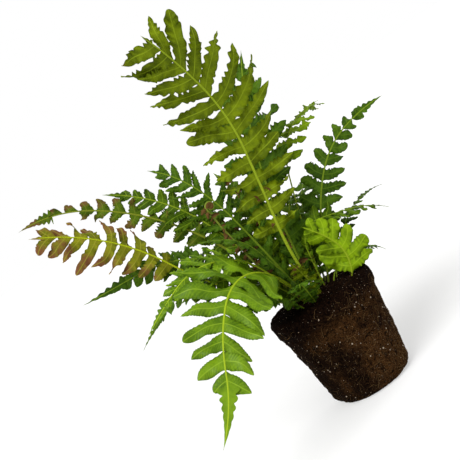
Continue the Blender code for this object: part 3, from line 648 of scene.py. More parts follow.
def lobes_along(turn, depths):
    """1 on top of a rounded lobe and 1 - depth in a notch: 1 - depth * (1 - sin(pi * t^1.25)^0.9).

    turn counts the lobes, and t is what it has past the last whole one. The power leans them to the tip.
    """
    shape = np.sin(math.pi * (turn % 1.0) ** 1.25) ** 0.9
    return 1 - depths[np.clip(np.floor(turn).astype(int), 0, len(depths) - 1)] * (1 - shape)


def edge_profile(share, blunt, body, room, wing, length, turn, depths):
    """Half width along a leaflet on one side: a taper with notches, widened at the root into a wing.

    Half width = 1.05 * body * (1 - share^blunt)^0.8 * lobes + (room - body) * exp(-distance / wing).
    A blunt leaflet's power is 0.6, and every leaflet is a little narrower just past its root.
    """
    narrow = 1 - 0.10 * np.exp(-((share - 0.1) / 0.12) ** 2)
    taper = (1 - share ** blunt) ** (0.80 if blunt < 4 else 0.60) * narrow
    fading = np.clip(share * 8, 0, 1) * np.clip((1 - share) * 5, 0.3, 1)
    lobed = 1 - (1 - lobes_along(turn, depths)) * fading
    spread = np.maximum(0.0, room - body) * np.exp(-share * length / wing)
    return np.maximum(body * 1.05 * taper * lobed + spread, 0.16)


def add_leaflet(surfaces, frond, here, side, room, bend, rib_half, draw, place=0.5, wild=0.0):
    """One leaflet: a bowed, twisted blade with lobed, ruffled edges, a raised midrib and a wing down the rib.

    Height over the blade = ruffle * v^1.3 * wave of the lobes, whose crests slant from the midrib towards
    the tip, + slow waves of the whole blade - fold * v^2.
    """
    length, angle, droop = bend
    habit = HABITS[frond.habit]
    large = length > LONG_LEAFLET
    size = min(1.0, length / FULL_RUFFLE)
    scallop = habit.scallop * (0.55 + 0.45 * min(1.0, length / FULL_SCALLOP))
    number = max(2.5, length / scallop)
    rows = int(np.clip(round(number * (6 if large else 4)) + 6, 14, 64))
    share = 1 - (1 - np.linspace(0, 1, rows)) ** 1.3
    blunt = habit.blunt * draw.choice([0.85, 1.0, 1.0, 1.25, 1.9])
    swell = habit.swell * frond.fill * (1 - 0.28 * wild) * draw.uniform(0.84, 1.10)
    body = min(0.5 * room * swell, SHORT_LEAFLET * length)
    wing = rib_half + habit.web * (1 + 1.1 * place ** 3)

    centre, across, face = leaflet_course(here, side, length, angle, droop, frond.curve, share)
    bow, lift, turn = draw.normal(0, 1, 3).clip(-1.6, 1.6)
    wander = habit.stray * length * np.sin(math.pi * share)
    centre = centre + across * (bow * wander)[:, None]
    centre = centre + face * (lift * wander * np.sin(2 * math.pi * share + bow))[:, None]
    twist = (habit.twist * (1 + 1.3 * wild) * turn * share * np.sin(1.5 * math.pi * share + lift))[:, None]
    turned = across * np.cos(twist) + face * np.sin(twist)
    across, face = turned, face * np.cos(twist) - across * np.sin(twist)

    phases = draw.uniform(0, 1, 4)
    depths = habit.notch * draw.uniform(0.5, 1.5, (2, int(number) + 4))
    uneven = draw.uniform(0.2, 0.5, 2)[:, None] * np.sin(2 * math.pi * (1.7 * share + phases[2:, None]))
    turns = share * number + phases[:2, None] + uneven
    left, right = (
        edge_profile(share, blunt, body, 0.5 * room, wing, length, turns[half], depths[half])
        for half in (0, 1)
    )

    u = share[:, None]
    v = (LONG_COLUMNS if large else SHORT_COLUMNS)[None, :]
    rising = np.clip(u * 5, 0, 1) * np.clip((1 - u) * 4.5, 0.25, 1)
    lobe = np.where(v < 0, turns[0][:, None], turns[1][:, None])
    ripple = -np.cos(2 * math.pi * (lobe + 0.7 * (1 - np.abs(v)) * body / habit.scallop))
    height = habit.ruffle * size * rising * np.abs(v) ** 1.3 * ripple
    slow = np.sin(2 * math.pi * (u * number * 0.31 + phases[3] + 0.2 * np.sign(v)))
    height = height + habit.ruffle * 0.7 * size * rising * v ** 2 * slow
    height = height + habit.sway * size * rising * v * np.sin(2 * math.pi * (u * 0.9 + phases[2]))
    height = height - habit.fold * body * rising * v ** 2
    away = np.abs(np.where(v < 0, left[:, None], right[:, None]) * v)
    half = 0.20 * (1 - np.abs(v) ** 3) + habit.midrib * (1 - 0.75 * u) * np.exp(-((away / 0.8) ** 2))
    made = blade(centre, across, face, left, right, v[0], height, half)
    # crest carries painted light on the tops of the ruffles and painted shade in their hollows
    surfaces.add_blade(made, share, length, 0.3 * place, 0.7, draw.uniform(-1, 1),
                       crest=ripple * np.abs(v) ** 0.7 * rising, edge=np.abs(v) + 0 * u)


def add_tail(surfaces, frond, path, start, draw):
    """The undivided end of a frond: one blade down both sides of the rib, lobed at its foot, then pointed.

    Half width = 1.3 * widest * (1 - part)^1.3 * lobes, and height = ruffle * |v|^1.5 * wave of the lobes.
    """
    habit = HABITS[frond.habit]
    length = (1 - start) * frond.length
    number = max(3.0, length / max(habit.scallop, frond.tail / 6.5))
    rows = int(np.clip(round(number * 6) + 6, 18, 60))
    part = np.linspace(0, 1, rows)
    point, _, right, upper = on_rib(path, start + part * (1 - start))
    widest = frond.tail * 0.145 + 1.8
    phases = draw.uniform(0, 1, 3)
    depths = draw.uniform(0.6, 1.4, (2, int(number) + 4))
    cut = habit.notch * 0.5 + 0.55 * (1 - part) ** 1.5
    sides = []
    for phase, depth in zip(phases[:2], depths):
        lobed = 1 - cut * (1 - lobes_along(part * number + phase, depth).clip(0, 1))
        sides.append(np.maximum(1.3 * widest * (1 - part) ** 1.3 * lobed, 0.15))
    v = TAIL_COLUMNS[None, :]
    wave = -np.cos(2 * math.pi * (part[:, None] * number + np.where(v < 0, phases[0], phases[1])))
    height = 0.6 * habit.ruffle * np.abs(v) ** 1.5 * wave * min(1.0, widest / 7) * (1 - 0.85 * part[:, None])
    made = blade(point, right, upper, *sides, TAIL_COLUMNS, height, sheet_half(0.22, TAIL_COLUMNS, part))
    surfaces.add_blade(made, part, length, 0.3, 0.7, draw.uniform(-1, 1))


def wilted_leaflet(surfaces, start, out, along, length, draw):
    """A small curled leaflet: a strip that bends towards the stem's foot and rolls up across its width.

    Height over the strip = roll * v^2, and its middle line turns by a steady angle over its length.
    """
    share = np.linspace(0, 1, 10)
    curl = share[:, None] * draw.uniform(1.2, 3.4) * draw.choice([-1, 1])
    drop = share[:, None] * draw.uniform(0.3, 1.2)
    step = unit(out * np.cos(curl) + np.cross(out, along) * np.sin(curl) - along * drop)
    centre = start + running_sum(step, share) * length
    across = unit(along + step * 0.2 - step * (step @ along)[:, None])
    face = unit(np.cross(step, across))
    wavy = 1 + 0.25 * np.sin(share * 15 + draw.uniform(0, 6))
    width = length * 0.22 * np.sqrt(np.maximum(1 - share ** 2.5, 0.01)) * wavy
    height = draw.uniform(0.4, 1.1) * width[:, None] * WILTED_COLUMNS[None, :] ** 2
    half = sheet_half(0.14, WILTED_COLUMNS, share)
    made = blade(centre, across, face, width, width, WILTED_COLUMNS, height, half)
    surfaces.add_blade(made, share, length, 0.4, 0.6, draw.uniform(-1, 1))


def add_short_leaflets(surfaces, frond, path, room, draw):
    """Short leaflets down the stem, smaller and further apart towards its foot."""
    number = SHORT_PAIRS.get(frond.name, 0)
    first = min(0.6 * frond.stem, 26 / frond.length)
    for place in range(number):
        along = (place + draw.uniform(0.2, 0.8)) / number
        share = first + (frond.stem - first) * along ** 0.8
        here = at_rib(path, share)
        for side in (-1, 1):
            length = frond.leaflet * (0.24 + 0.24 * along) * draw.uniform(0.75, 1.25)
            bend = (length, frond.angle + draw.uniform(-18, 14), frond.droop + draw.uniform(-30, 30))
            beside = min(room, 0.62 * length + 3)
            add_leaflet(surfaces, frond, here, side, beside, bend, rib_half_width(frond, share), draw)


def add_withered_scraps(surfaces, path, first, last, number, seed):
    """Dried, curled leaflets in loose clumps along a stem, on the side that faces the plant's middle."""
    draw = np.random.default_rng(seed)
    for share in draw.uniform(first, last, number):
        point, along, right, upper = at_rib(path, share)
        out = unit(right * draw.uniform(-1, 1) + upper * draw.uniform(0.15, 0.9))
        wilted_leaflet(surfaces, point + out * 1.4, out, along, draw.uniform(9.0, 18.0), draw)


def add_rib(surfaces, frond, path):
    """The stem and rib: an ellipse that thins towards the tip, grooved on its upper face.

    Half depth = half the rib * (1 - 0.66 * share), and both narrow to an eighth over the last 6%.
    """
    share = np.linspace(0, 1, max(24, int(frond.length / 5)))
    point, _, right, upper = on_rib(path, share)
    thin = np.clip((1 - share) / 0.06, 0.12, 1)
    width = (rib_half_width(frond, share) - 0.05) * thin
    depth = np.maximum(frond.rib * 0.5 * (1 - 0.66 * share), 0.4) * thin
    points, faces = tube(point, right, upper, width, depth, STEM_SIDES, groove=0.34)
    along = np.concatenate([np.repeat(share, STEM_SIDES), share[:1], share[-1:]])
    surfaces.add(points, faces, reach=along, stalk=1.0,
                 vein_along=along * frond.length, vein_across=OFF_VEINS)


def frond_piece(frond, finishes):
    """One frond in place of its CAD node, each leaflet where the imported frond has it."""
    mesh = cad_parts[frond.name].data
    corners = np.empty(len(mesh.vertices) * 3, np.float32)
    mesh.vertices.foreach_get("co", corners)
    corners = corners.reshape(-1, 3).astype(float) / MM
    path = packed_path(frond, corners)
    tail = 1 - frond.tail / frond.length
    spacing = (tail - frond.stem) / frond.pairs
    room = spacing * frond.length
    draws = np.random.default_rng(frond.seed).uniform(-1, 1, (frond.pairs, 2, 3))
    draw = np.random.default_rng(frond.seed + LEAFLET_SEED)
    surfaces = Surfaces()
    add_rib(surfaces, frond, path)
    for pair in range(frond.pairs):
        low = frond.stem + (pair + 0.5 * (1 - frond.fill)) * spacing
        share = low + 0.5 * frond.fill * spacing
        here = at_rib(path, share)
        place = (pair + 0.5) / frond.pairs
        wild = max(0.0, 1 - 2.2 * place, 1.6 * place - 1.0) if frond.habit == "ruffled" else 0.0
        for side in (-1, 1):
            bend = packed_bend(frond, here, side, place, draws[pair, (side + 1) // 2], corners)
            if bend is not None:
                rib_half = rib_half_width(frond, share)
                add_leaflet(surfaces, frond, here, side, room, bend, rib_half, draw, place, wild)
    add_short_leaflets(surfaces, frond, path, room, draw)
    if frond.habit == "crumpled":
        for share in np.linspace(0.2, 0.96, 34):
            point, along, right, upper = at_rib(path, share)
            out = unit(right * draw.choice([-1, 1]) + upper * draw.uniform(-0.8, 0.8))
            wilted_leaflet(surfaces, point, out, along, draw.uniform(7.0, 15.0), draw)
    add_tail(surfaces, frond, path, tail - 0.3 * spacing, draw)
    slot = "dark_leaf" if frond.leaf == "bronze_leaf" else frond.leaf
    surfaces.piece(frond.name + "_leaves", [frond.name], slot, finishes[frond.leaf])
    return path


# Root ball

def lumps(angle, height, seed):
    """Smooth lumps of the root ball: a sum of waves round it and up it."""
    starts = np.random.default_rng(seed).uniform(0, 2 * math.pi, 6)
    return sum(
        size * np.sin(round_it * angle + up_it * height + start)
        for (size, round_it, up_it), start in zip(BALL_WAVES, starts)
    )


def ball_radius(angle, height):
    """Radius of the root ball's side: read off its rings, + bump * lumps, which fade out at the underside."""
    radius = np.interp(height, [ring[0] for ring in BALL_RINGS], [ring[1] for ring in BALL_RINGS])
    return radius + BALL_BUMP * np.minimum(1.0, height / 12.0) * lumps(angle, height, BALL_SEED)


def relief(points):
    """How far the root ball's side is pushed out: lumps of three sizes, less the chips at its lower edge."""
    lumpy = 0.95 * lattice_noise(points, 9.0, 1) + 0.60 * lattice_noise(points, 4.2, 2)
    lumpy = lumpy + 0.45 * lattice_noise(points, 2.0, 3)
    chips = np.clip(lattice_noise(points, 15.0, 7) - 0.05, 0, 1) * np.clip((19 - points[:, 2]) / 12, 0, 1)
    return lumpy - 6.5 * chips


def ball_surface():
    """Points and faces of the root ball: its underside, side and soil, with crumbs and pits of packed soil.

    Rings of points run out over the underside, up the side and in over the soil. Each point is pushed
    out of the side, or up from the soil, by noise. under and on_soil are 1 on the two flat ends.
    """
    angle = np.linspace(0, 2 * math.pi, RING_POINTS, endpoint=False)
    rings = [round_middle(distance, angle, 0.0) for distance in np.linspace(4, 46, UNDERSIDE_RINGS)]
    for height in np.linspace(0, 140, SIDE_RINGS):
        rings.append(round_middle(ball_radius(angle, height), angle, height))
    for distance in np.linspace(70, 3, SOIL_TOP_RINGS):
        rings.append(round_middle(distance, angle, soil_level(distance)))
    flat = np.concatenate(rings)
    order = np.arange(len(rings))
    on_soil = np.clip((order - UNDERSIDE_RINGS - SIDE_RINGS + 2) / 3, 0, 1).repeat(RING_POINTS)[:, None]
    under = np.clip((UNDERSIDE_RINGS + 1 - order) / 2, 0, 1).repeat(RING_POINTS)[:, None]
    away = unit(flat * np.array([1, 1, 0]) + np.array([0, 0, 1e-6]))
    direction = unit(away * (1 - on_soil) + UP * on_soil)
    crumb = 1.3 * np.abs(lattice_noise(flat, 6.0, 4)) + 0.9 * lattice_noise(flat, 2.6, 5)
    push = np.where(on_soil > 0.5, crumb[:, None], relief(flat)[:, None]) * (1 - under)
    flat = flat + direction * push
    flat[:, 2] = np.where(under[:, 0] > 0.4, 0.5 * np.abs(lattice_noise(flat, 3.0, 6)), flat[:, 2])
    flat[:, 2] = np.maximum(flat[:, 2], 0.0)
    points = np.concatenate([flat, [[0, 0, 0.3]], [[0, 0, BALL_HEIGHT]]])
    faces = closed_rings(len(rings), RING_POINTS)
    return points, [np.roll(block[:, ::-1], 1, axis=1) for block in faces]


def on_ball(angle, height):
    """Points on the side of the root ball and the direction out of it."""
    out = round_middle(1.0, angle, 0.0)
    place = out * ball_radius(angle, height)[..., None]
    place[..., 2] = height
    return place, out


def root_threads(surfaces, number, seed):
    """Fine roots over the side of the root ball, most on its right: thin tubes on a random walk round it."""
    draw = np.random.default_rng(seed)
    for _ in range(number):
        angle = draw.vonmises(0, 0.5)
        height = 4 + 128 * draw.uniform(0, 1) ** 1.25
        bearing = draw.choice([draw.uniform(-0.5, 0.5), draw.uniform(0.9, 2.2)]) + draw.choice([0, math.pi])
        bearings = bearing + np.cumsum(draw.normal(0, 0.20, THREAD_STEPS))
        step = draw.uniform(0.35, 1.3)
        angles = angle + np.cumsum(np.cos(bearings)) * step / 66
        heights = np.clip(height + np.cumsum(np.sin(bearings)) * step, 1.5, 138.5)
        place, out = on_ball(angles, heights)
        place = place + out * (relief(place) + draw.uniform(-0.3, 0.6))[:, None]
        along = unit(np.gradient(place, axis=0) + 1e-9)
        right = unit(np.cross(along, out))
        thick = (0.07 + 0.13 * draw.uniform(0, 1) ** 2.5) * np.linspace(1, 0.4, THREAD_STEPS)
        points, faces = tube(place, right, np.cross(right, along), thick, thick, sides=4)
        surfaces.add(points, faces, tint=draw.uniform(-1, 1))


def grain_shape():
    """Corners and faces of a twenty-sided grain, whose faces join every three corners that are neighbours."""
    golden = (1 + 5 ** 0.5) / 2
    corners = []
    for first in (-1, 1):
        for second in (-golden, golden):
            corners += [(0, first, second), (first, second, 0), (second, 0, first)]
    corners = unit(np.array(corners, float))
    faces = []
    for one, two, three in combinations(range(12), 3):
        trio = corners[[one, two, three]]
        if max(np.linalg.norm(trio - np.roll(trio, 1, axis=0), axis=1)) < 1.1:
            outward = np.dot(np.cross(trio[1] - trio[0], trio[2] - trio[0]), trio.sum(axis=0)) > 0
            faces.append((one, two, three) if outward else (one, three, two))
    return corners, np.array(faces)


def add_grains(surfaces, places, sizes, seed):
    """Irregular grains: the twenty-sided shape with each corner pushed in or out, turned at random."""
    corners, faces = grain_shape()
    draw = np.random.default_rng(seed)
    for place, size in zip(places, sizes):
        turn, _ = np.linalg.qr(draw.normal(size=(3, 3)))
        if np.linalg.det(turn) < 0:
            turn[:, 0] = -turn[:, 0]
        shape = corners * draw.uniform(0.72, 1.2, (12, 1))
        shape = shape * np.array([1.0, draw.uniform(GRAIN_FLATNESS, 1), GRAIN_FLATNESS])
        surfaces.add(shape @ turn.T * size + place, [faces], tint=draw.uniform(-1, 1))


def grit_places(number, seed):
    """Places and sizes of the white grit on the side and on the soil, about one grain in six on the soil.

    Size = 0.26 + 1.15 * u^7 with u even between 0 and 1, so that small grains are far more common.
    """
    draw = np.random.default_rng(seed)
    sizes = 0.26 + 1.15 * draw.uniform(0, 1, number) ** 7
    angle = draw.uniform(0, 2 * math.pi, number)
    place, out = on_ball(angle, draw.uniform(2, 139, number))
    place = place + out * (relief(place) + 0.15 * sizes)[:, None]
    top = draw.uniform(0, 1, number) < 0.16
    distance = 68 * np.sqrt(draw.uniform(0, 1, number))
    above = round_middle(distance, angle, soil_level(distance) + 0.8)
    return np.where(top[:, None], above, place), sizes


def crumb_places(number, seed):
    """Places and sizes of soil crumbs over the top and round its shoulder, which lie lower there.

    Distance from the middle = 72 * u^0.6 and size = 0.7 + 2 * w^3, with u and w even between 0 and 1.
    """
    draw = np.random.default_rng(seed)
    distance = 72 * draw.uniform(0, 1, number) ** 0.6
    angle = draw.uniform(0, 2 * math.pi, number)
    sizes = 0.7 + 2.0 * draw.uniform(0, 1, number) ** 3
    level = soil_level(distance) + 0.5 - np.clip(distance - 66, 0, 10) * 0.4
    return round_middle(distance, angle, level), sizes


def add_scales(surfaces, path, reach, number, half, seed):
    """Dry scales on the foot of a stem: thin four-faced flakes that point up it and stand off a little."""
    draw = np.random.default_rng(seed)
    share = draw.uniform(0.25, 1.0, number) ** 1.2 * reach
    places = zip(*on_rib(path, share), draw.uniform(0, 2 * math.pi, number))
    for point, along, right, upper, turn in places:
        out = right * math.cos(turn) + upper * math.sin(turn)
        beside = np.cross(out, along)
        start = point + out * half
        size = draw.uniform(2.2, 5.0)
        tip = start + along * size * draw.uniform(0.7, 1.0) + out * size * draw.uniform(0.15, 0.6)
        tip = tip + beside * draw.normal(0, 0.5)
        wide = draw.uniform(0.35, 0.7)
        back = start + out * 0.25 + along * 0.9
        corners = np.array([start + beside * wide, start - beside * wide, back, tip])
        faces = np.array([(0, 1, 2), (1, 3, 2), (3, 0, 2), (1, 0, 3)])
        if np.dot(np.cross(corners[1] - corners[0], corners[2] - corners[0]), corners[3] - corners[0]) > 0:
            faces = faces[:, ::-1]
        surfaces.add(corners, [faces], tint=draw.uniform(-1, 1))


# The rolled frond

def crozier_path():
    """Points, directions and share rolled of the young frond: a bent stem, then a shrinking coil.

    Both lie in one upright plane. The coil turns steadily, and its radius = first - pitch * turns * part.
    """
    heading = math.radians(CROZIER_HEADING)
    out = np.array([math.cos(heading), math.sin(heading), 0.0])
    lift = math.radians(CROZIER_LIFT)
    stem = np.linspace(lift, lift + STEM_BEND, 6)[:5].repeat(STEM_STEPS // 5)
    part = (np.arange(COIL_STEPS) + 0.5) / COIL_STEPS
    radius = COIL_RADIUS - COIL_PITCH * COIL_TURNS * part
    turns = np.concatenate([stem, lift + STEM_BEND + 2 * math.pi * COIL_TURNS * part])[:, None]
    reach = np.full(STEM_STEPS, CROZIER_LENGTH / STEM_STEPS)
    lengths = np.concatenate([reach, radius * 2 * math.pi * COIL_TURNS / COIL_STEPS])[:, None]
    steps = np.cumsum((np.cos(turns) * out + np.sin(turns) * UP) * lengths, axis=0)
    points = foot_point(CROZIER_FOOT) + np.concatenate([np.zeros((1, 3)), steps])
    turns = np.concatenate([turns, turns[-1:]])
    along = np.cos(turns) * out + np.sin(turns) * UP
    upper = np.cos(turns) * UP - np.sin(turns) * out
    right = np.broadcast_to([math.sin(heading), -math.cos(heading), 0.0], points.shape)
    rolled = np.clip((np.arange(len(points)) - STEM_STEPS) / COIL_STEPS, 0, 1)
    return points, along, right, upper, rolled


def crozier_piece(finishes):
    """The rolled frond: a grooved stem, its coil packed with folded leaflets, and wilted ones on the stem."""
    point, along, right, upper, rolled = crozier_path()
    surfaces = Surfaces()
    half = CROZIER_RIB * 0.5 * (1 - 0.35 * rolled)
    points, faces = tube(point, right, upper, half, half, STEM_SIDES, groove=0.2)
    reach = np.concatenate([rolled.repeat(STEM_SIDES), [0.0, 1.0]])
    distance = np.concatenate([np.arange(len(point)).repeat(STEM_SIDES), [0, len(point)]])
    surfaces.add(points, faces, reach=0.3 + 0.7 * reach, stalk=1.0,
                 vein_along=distance, vein_across=OFF_VEINS)
    draw = np.random.default_rng(CROZIER_SEED)
    share = np.linspace(0, 1, 9)
    for spot in range(STEM_STEPS + 2, len(point) - 2, 2):
        for side in (-1, 1):
            length = 5.0 * (1 - 0.45 * rolled[spot]) * draw.uniform(0.8, 1.15)
            bend = 0.9 + share[:, None] * (1.6 + draw.uniform(-0.3, 0.3))
            out = unit(right[spot] * side * np.cos(bend) + upper[spot] * np.sin(bend) + along[spot] * 0.25)
            centre = point[spot] + right[spot] * side * half[spot] * 0.7 + running_sum(out, share) * length
            across = np.broadcast_to(along[spot], centre.shape)
            face = unit(np.cross(out, across)) * side
            width = 1.05 * np.sqrt(np.maximum(1 - share ** 3, 0.01)) * (1 - 0.3 * rolled[spot])
            height = 0 * share[:, None] - 0.25 * COILED_COLUMNS[None, :] ** 2
            thick = sheet_half(0.12, COILED_COLUMNS, share)
            made = blade(centre, across, face, width, width, COILED_COLUMNS, height, thick)
            surfaces.add_blade(made, share, 0.0, 1.0, 0.0, draw.uniform(-1, 1))
    for spot in np.linspace(STEM_STEPS // 3, STEM_STEPS + 1, 24).astype(int):
        side = draw.choice([-1, 1])
        out = unit(right[spot] * side + upper[spot] * draw.uniform(-0.8, 0.8))
        start = point[spot] + out * half[spot] * 0.6
        wilted_leaflet(surfaces, start, out, along[spot], draw.uniform(7.0, 14.0), draw)
    surfaces.piece("crozier_coil", ["crozier"], "young_stem", finishes["young_stem"])


# Finishes

def wire(tree, kind, inputs=None, **settings):
    """Adds a shader node, sets it, and connects or fills its inputs by name or number."""
    made = tree.nodes.new(kind)
    for label, value in settings.items():
        setattr(made, label, value)
    for label, value in (inputs or {}).items():
        if isinstance(value, bpy.types.NodeSocket):
            tree.links.new(value, made.inputs[label])
        else:
            made.inputs[label].default_value = (*value, 1.0) if isinstance(value, tuple) else value
    return made


def maths(tree, operation, first, second=0.0, third=0.0):
    """The result of a maths node."""
    return wire(tree, "ShaderNodeMath", {0: first, 1: second, 2: third}, operation=operation).outputs[0]


def times(tree, first, second):
    """The product of two values."""
    return maths(tree, "MULTIPLY", first, second)


def raised(tree, value, factor, start):
    """value * factor + start."""
    return maths(tree, "MULTIPLY_ADD", value, factor, start)


def reading(tree, label):
    """The value of one of the piece's own attributes."""
    return wire(tree, "ShaderNodeAttribute", attribute_name=label).outputs["Fac"]


def blend(tree, share, first, second):
    """Mix of two colours by a share."""
    return wire(tree, "ShaderNodeMix", {0: share, 6: first, 7: second}, data_type="RGBA").outputs[2]


def steps_between(tree, value, low, high):
    """A smooth rise from 0 at low to 1 at high."""
    given = {0: value, 1: low, 2: high}
    return wire(tree, "ShaderNodeMapRange", given, interpolation_type="SMOOTHSTEP").outputs[0]


def own_place(tree):
    """The object's own coordinates, in metres."""
    return wire(tree, "ShaderNodeTexCoord").outputs["Object"]


def cloudy(tree, place, scale, detail, roughness=0.5):
    """A noise texture. scale is its number of features in a metre."""
    given = {"Vector": place, "Scale": scale, "Detail": detail, "Roughness": roughness}
    return wire(tree, "ShaderNodeTexNoise", given)


def finish_surface(tree, shader, colour, height, strength, depth):
    """Gives the shader its colour, and a bump of the given depth in metres."""
    tree.links.new(colour, shader.inputs["Base Color"])
    bump = wire(tree, "ShaderNodeBump", {"Height": height, "Strength": strength, "Distance": depth})
    tree.links.new(bump.outputs[0], shader.inputs["Normal"])


def new_group(name, inputs, outputs):
    """An empty node group with named inputs, their usual values, and named outputs."""
    group = bpy.data.node_groups.new(name, "ShaderNodeTree")
    for label, value in inputs.items():
        kind = "NodeSocketVector" if value is None else "NodeSocketFloat"
        socket = group.interface.new_socket(label, in_out="INPUT", socket_type=kind)
        if value is not None:
            socket.default_value = value
    for label in outputs:
        group.interface.new_socket(label, in_out="OUTPUT", socket_type="NodeSocketFloat")
    return group, group.nodes.new("NodeGroupInput").outputs, group.nodes.new("NodeGroupOutput").inputs


def vein_group():
    """Side veins and midrib of a leaflet, from the distances along its midrib and away from it."""
    group, given, result = new_group(
        "leaf_veins",
        {"Along": 0.0, "Across": 0.0, "Spacing": 2.2, "Slant": 0.55, "Midrib": 0.38},
        ("Veins", "Midrib", "Quilting"),
    )
    away = maths(group, "ABSOLUTE", given["Across"])
    slid = maths(group, "SUBTRACT", given["Along"], times(group, away, given["Slant"]))
    wave = maths(group, "FRACT", maths(group, "DIVIDE", slid, given["Spacing"]))
    from_middle = maths(group, "ABSOLUTE", maths(group, "SUBTRACT", wave, 0.5))
    edge = times(group, given["Midrib"], 1.9)
    middle = wire(group, "ShaderNodeMapRange", {0: away, 1: given["Midrib"], 2: edge, 3: 1.0, 4: 0.0},
                  interpolation_type="SMOOTHSTEP")
    group.links.new(steps_between(group, from_middle, 0.36, 0.5), result["Veins"])
    group.links.new(middle.outputs[0], result["Midrib"])
    group.links.new(maths(group, "SINE", times(group, wave, math.pi)), result["Quilting"])
    return group


def mottle_group():
    """Soft patches and fine cells over a surface, from the object's own coordinates."""
    group, given, result = new_group(
        "leaf_mottle", {"Place": None, "Patch size": 60.0, "Cell size": 900.0}, ("Patches", "Cells"))
    soft = cloudy(group, given["Place"], given["Patch size"], 3.0, 0.6)
    fine = cloudy(group, given["Place"], given["Cell size"], 2.0, 0.55)
    patches = wire(group, "ShaderNodeMapRange", {0: soft.outputs["Fac"], 1: 0.32, 2: 0.68})
    group.links.new(patches.outputs[0], result["Patches"])
    group.links.new(fine.outputs["Fac"], result["Cells"])
    return group


def browning_group():
    """Where a leaf has turned brown: towards the ends and edges of its leaflets, in ragged patches."""
    group, given, result = new_group(
        "leaf_browning", {"Reach": 0.0, "Patches": 0.5, "Start": 0.8, "Spread": 0.2}, ("Brown",))
    ragged = maths(group, "SUBTRACT", raised(group, given["Patches"], 0.45, given["Reach"]), 0.22)
    end = maths(group, "ADD", given["Start"], given["Spread"])
    group.links.new(steps_between(group, ragged, given["Start"], end), result["Brown"])
    return group


def new_finish(name, roughness, gloss):
    """A material with its Principled shader, ready to be wired."""
    material = bpy.data.materials.new(name)
    material.use_nodes = True
    shader = material.node_tree.nodes["Principled BSDF"]
    shader.inputs["Roughness"].default_value = roughness
    shader.inputs["Specular IOR Level"].default_value = gloss
    return material, material.node_tree, shader


def darker(colour):
    """A colour at a little over half its brightness."""
    return tuple(0.55 * value for value in colour)


def leaf_finish(name, leaf, groups):
    """Leaf: two greens in soft patches, darker in the hollows of its ruffles as painted shade, lighter on
    their tops and on the swellings as painted light, painted shade on its edges, paler veins and midrib.
    """
    material, tree, shader = new_finish(name, leaf.roughness, leaf.gloss)
    place = own_place(tree)
    reach = reading(tree, "reach")
    mottle = wire(tree, "ShaderNodeGroup", {"Place": place}, node_tree=groups["mottle"]).outputs
    patches, cells = mottle["Patches"], mottle["Cells"]
    uneven = raised(tree, patches, 4.0, reading(tree, "vein_along"))
    given = {"Along": uneven, "Across": reading(tree, "vein_across"), "Spacing": leaf.spacing}
    veins = wire(tree, "ShaderNodeGroup", given, node_tree=groups["veins"]).outputs
    given = {"Reach": reach, "Patches": patches, "Start": leaf.browning[0], "Spread": leaf.browning[1]}
    turned = wire(tree, "ShaderNodeGroup", given, node_tree=groups["browning"]).outputs["Brown"]
    tint = raised(tree, reading(tree, "tint"), 0.28, patches)
    # painted light and shade: lighter on the tops of the ruffles, darker in their hollows
    tint = raised(tree, reading(tree, "crest"), 0.56, tint)
    colour = blend(tree, tint, leaf.deep, leaf.light)
    # painted highlight: the swellings between the veins lighter
    colour = blend(tree, times(tree, veins["Quilting"], leaf.swelling_highlight), colour, leaf.light)
    shown = raised(tree, patches, -0.4, 0.5)
    colour = blend(tree, times(tree, veins["Veins"], shown), colour, leaf.vein)
    # painted shade: darker along the very edge, where the blade curls down
    edge_shade_mask = steps_between(tree, raised(tree, cells, 0.3, reading(tree, "edge")), 0.82, 1.14)
    colour = blend(tree, times(tree, edge_shade_mask, leaf.edge_shade), colour, darker(leaf.deep))
    colour = blend(tree, turned, colour, leaf.brown)
    colour = blend(tree, times(tree, veins["Midrib"], 0.7), colour, leaf.midrib)
    foot = steps_between(tree, reach, 0.16, 0.02)
    streak = cloudy(tree, place, 240.0, 2.0).outputs["Fac"]
    stem = blend(tree, times(tree, foot, 0.75), leaf.stalk, STEM_FOOT_BROWN)
    stem = blend(tree, times(tree, streak, 0.5), stem, darker(leaf.stalk))
    colour = blend(tree, reading(tree, "stalk"), colour, stem)
    given = {0: cells, 1: 0.3, 2: 0.7, 3: leaf.roughness - 0.08, 4: leaf.roughness + 0.12}
    rough = wire(tree, "ShaderNodeMapRange", given)
    tree.links.new(rough.outputs[0], shader.inputs["Roughness"])
    height = raised(tree, cells, 0.25, times(tree, veins["Quilting"], leaf.relief))
    finish_surface(tree, shader, colour, height, 0.6, 0.0006)
    return material


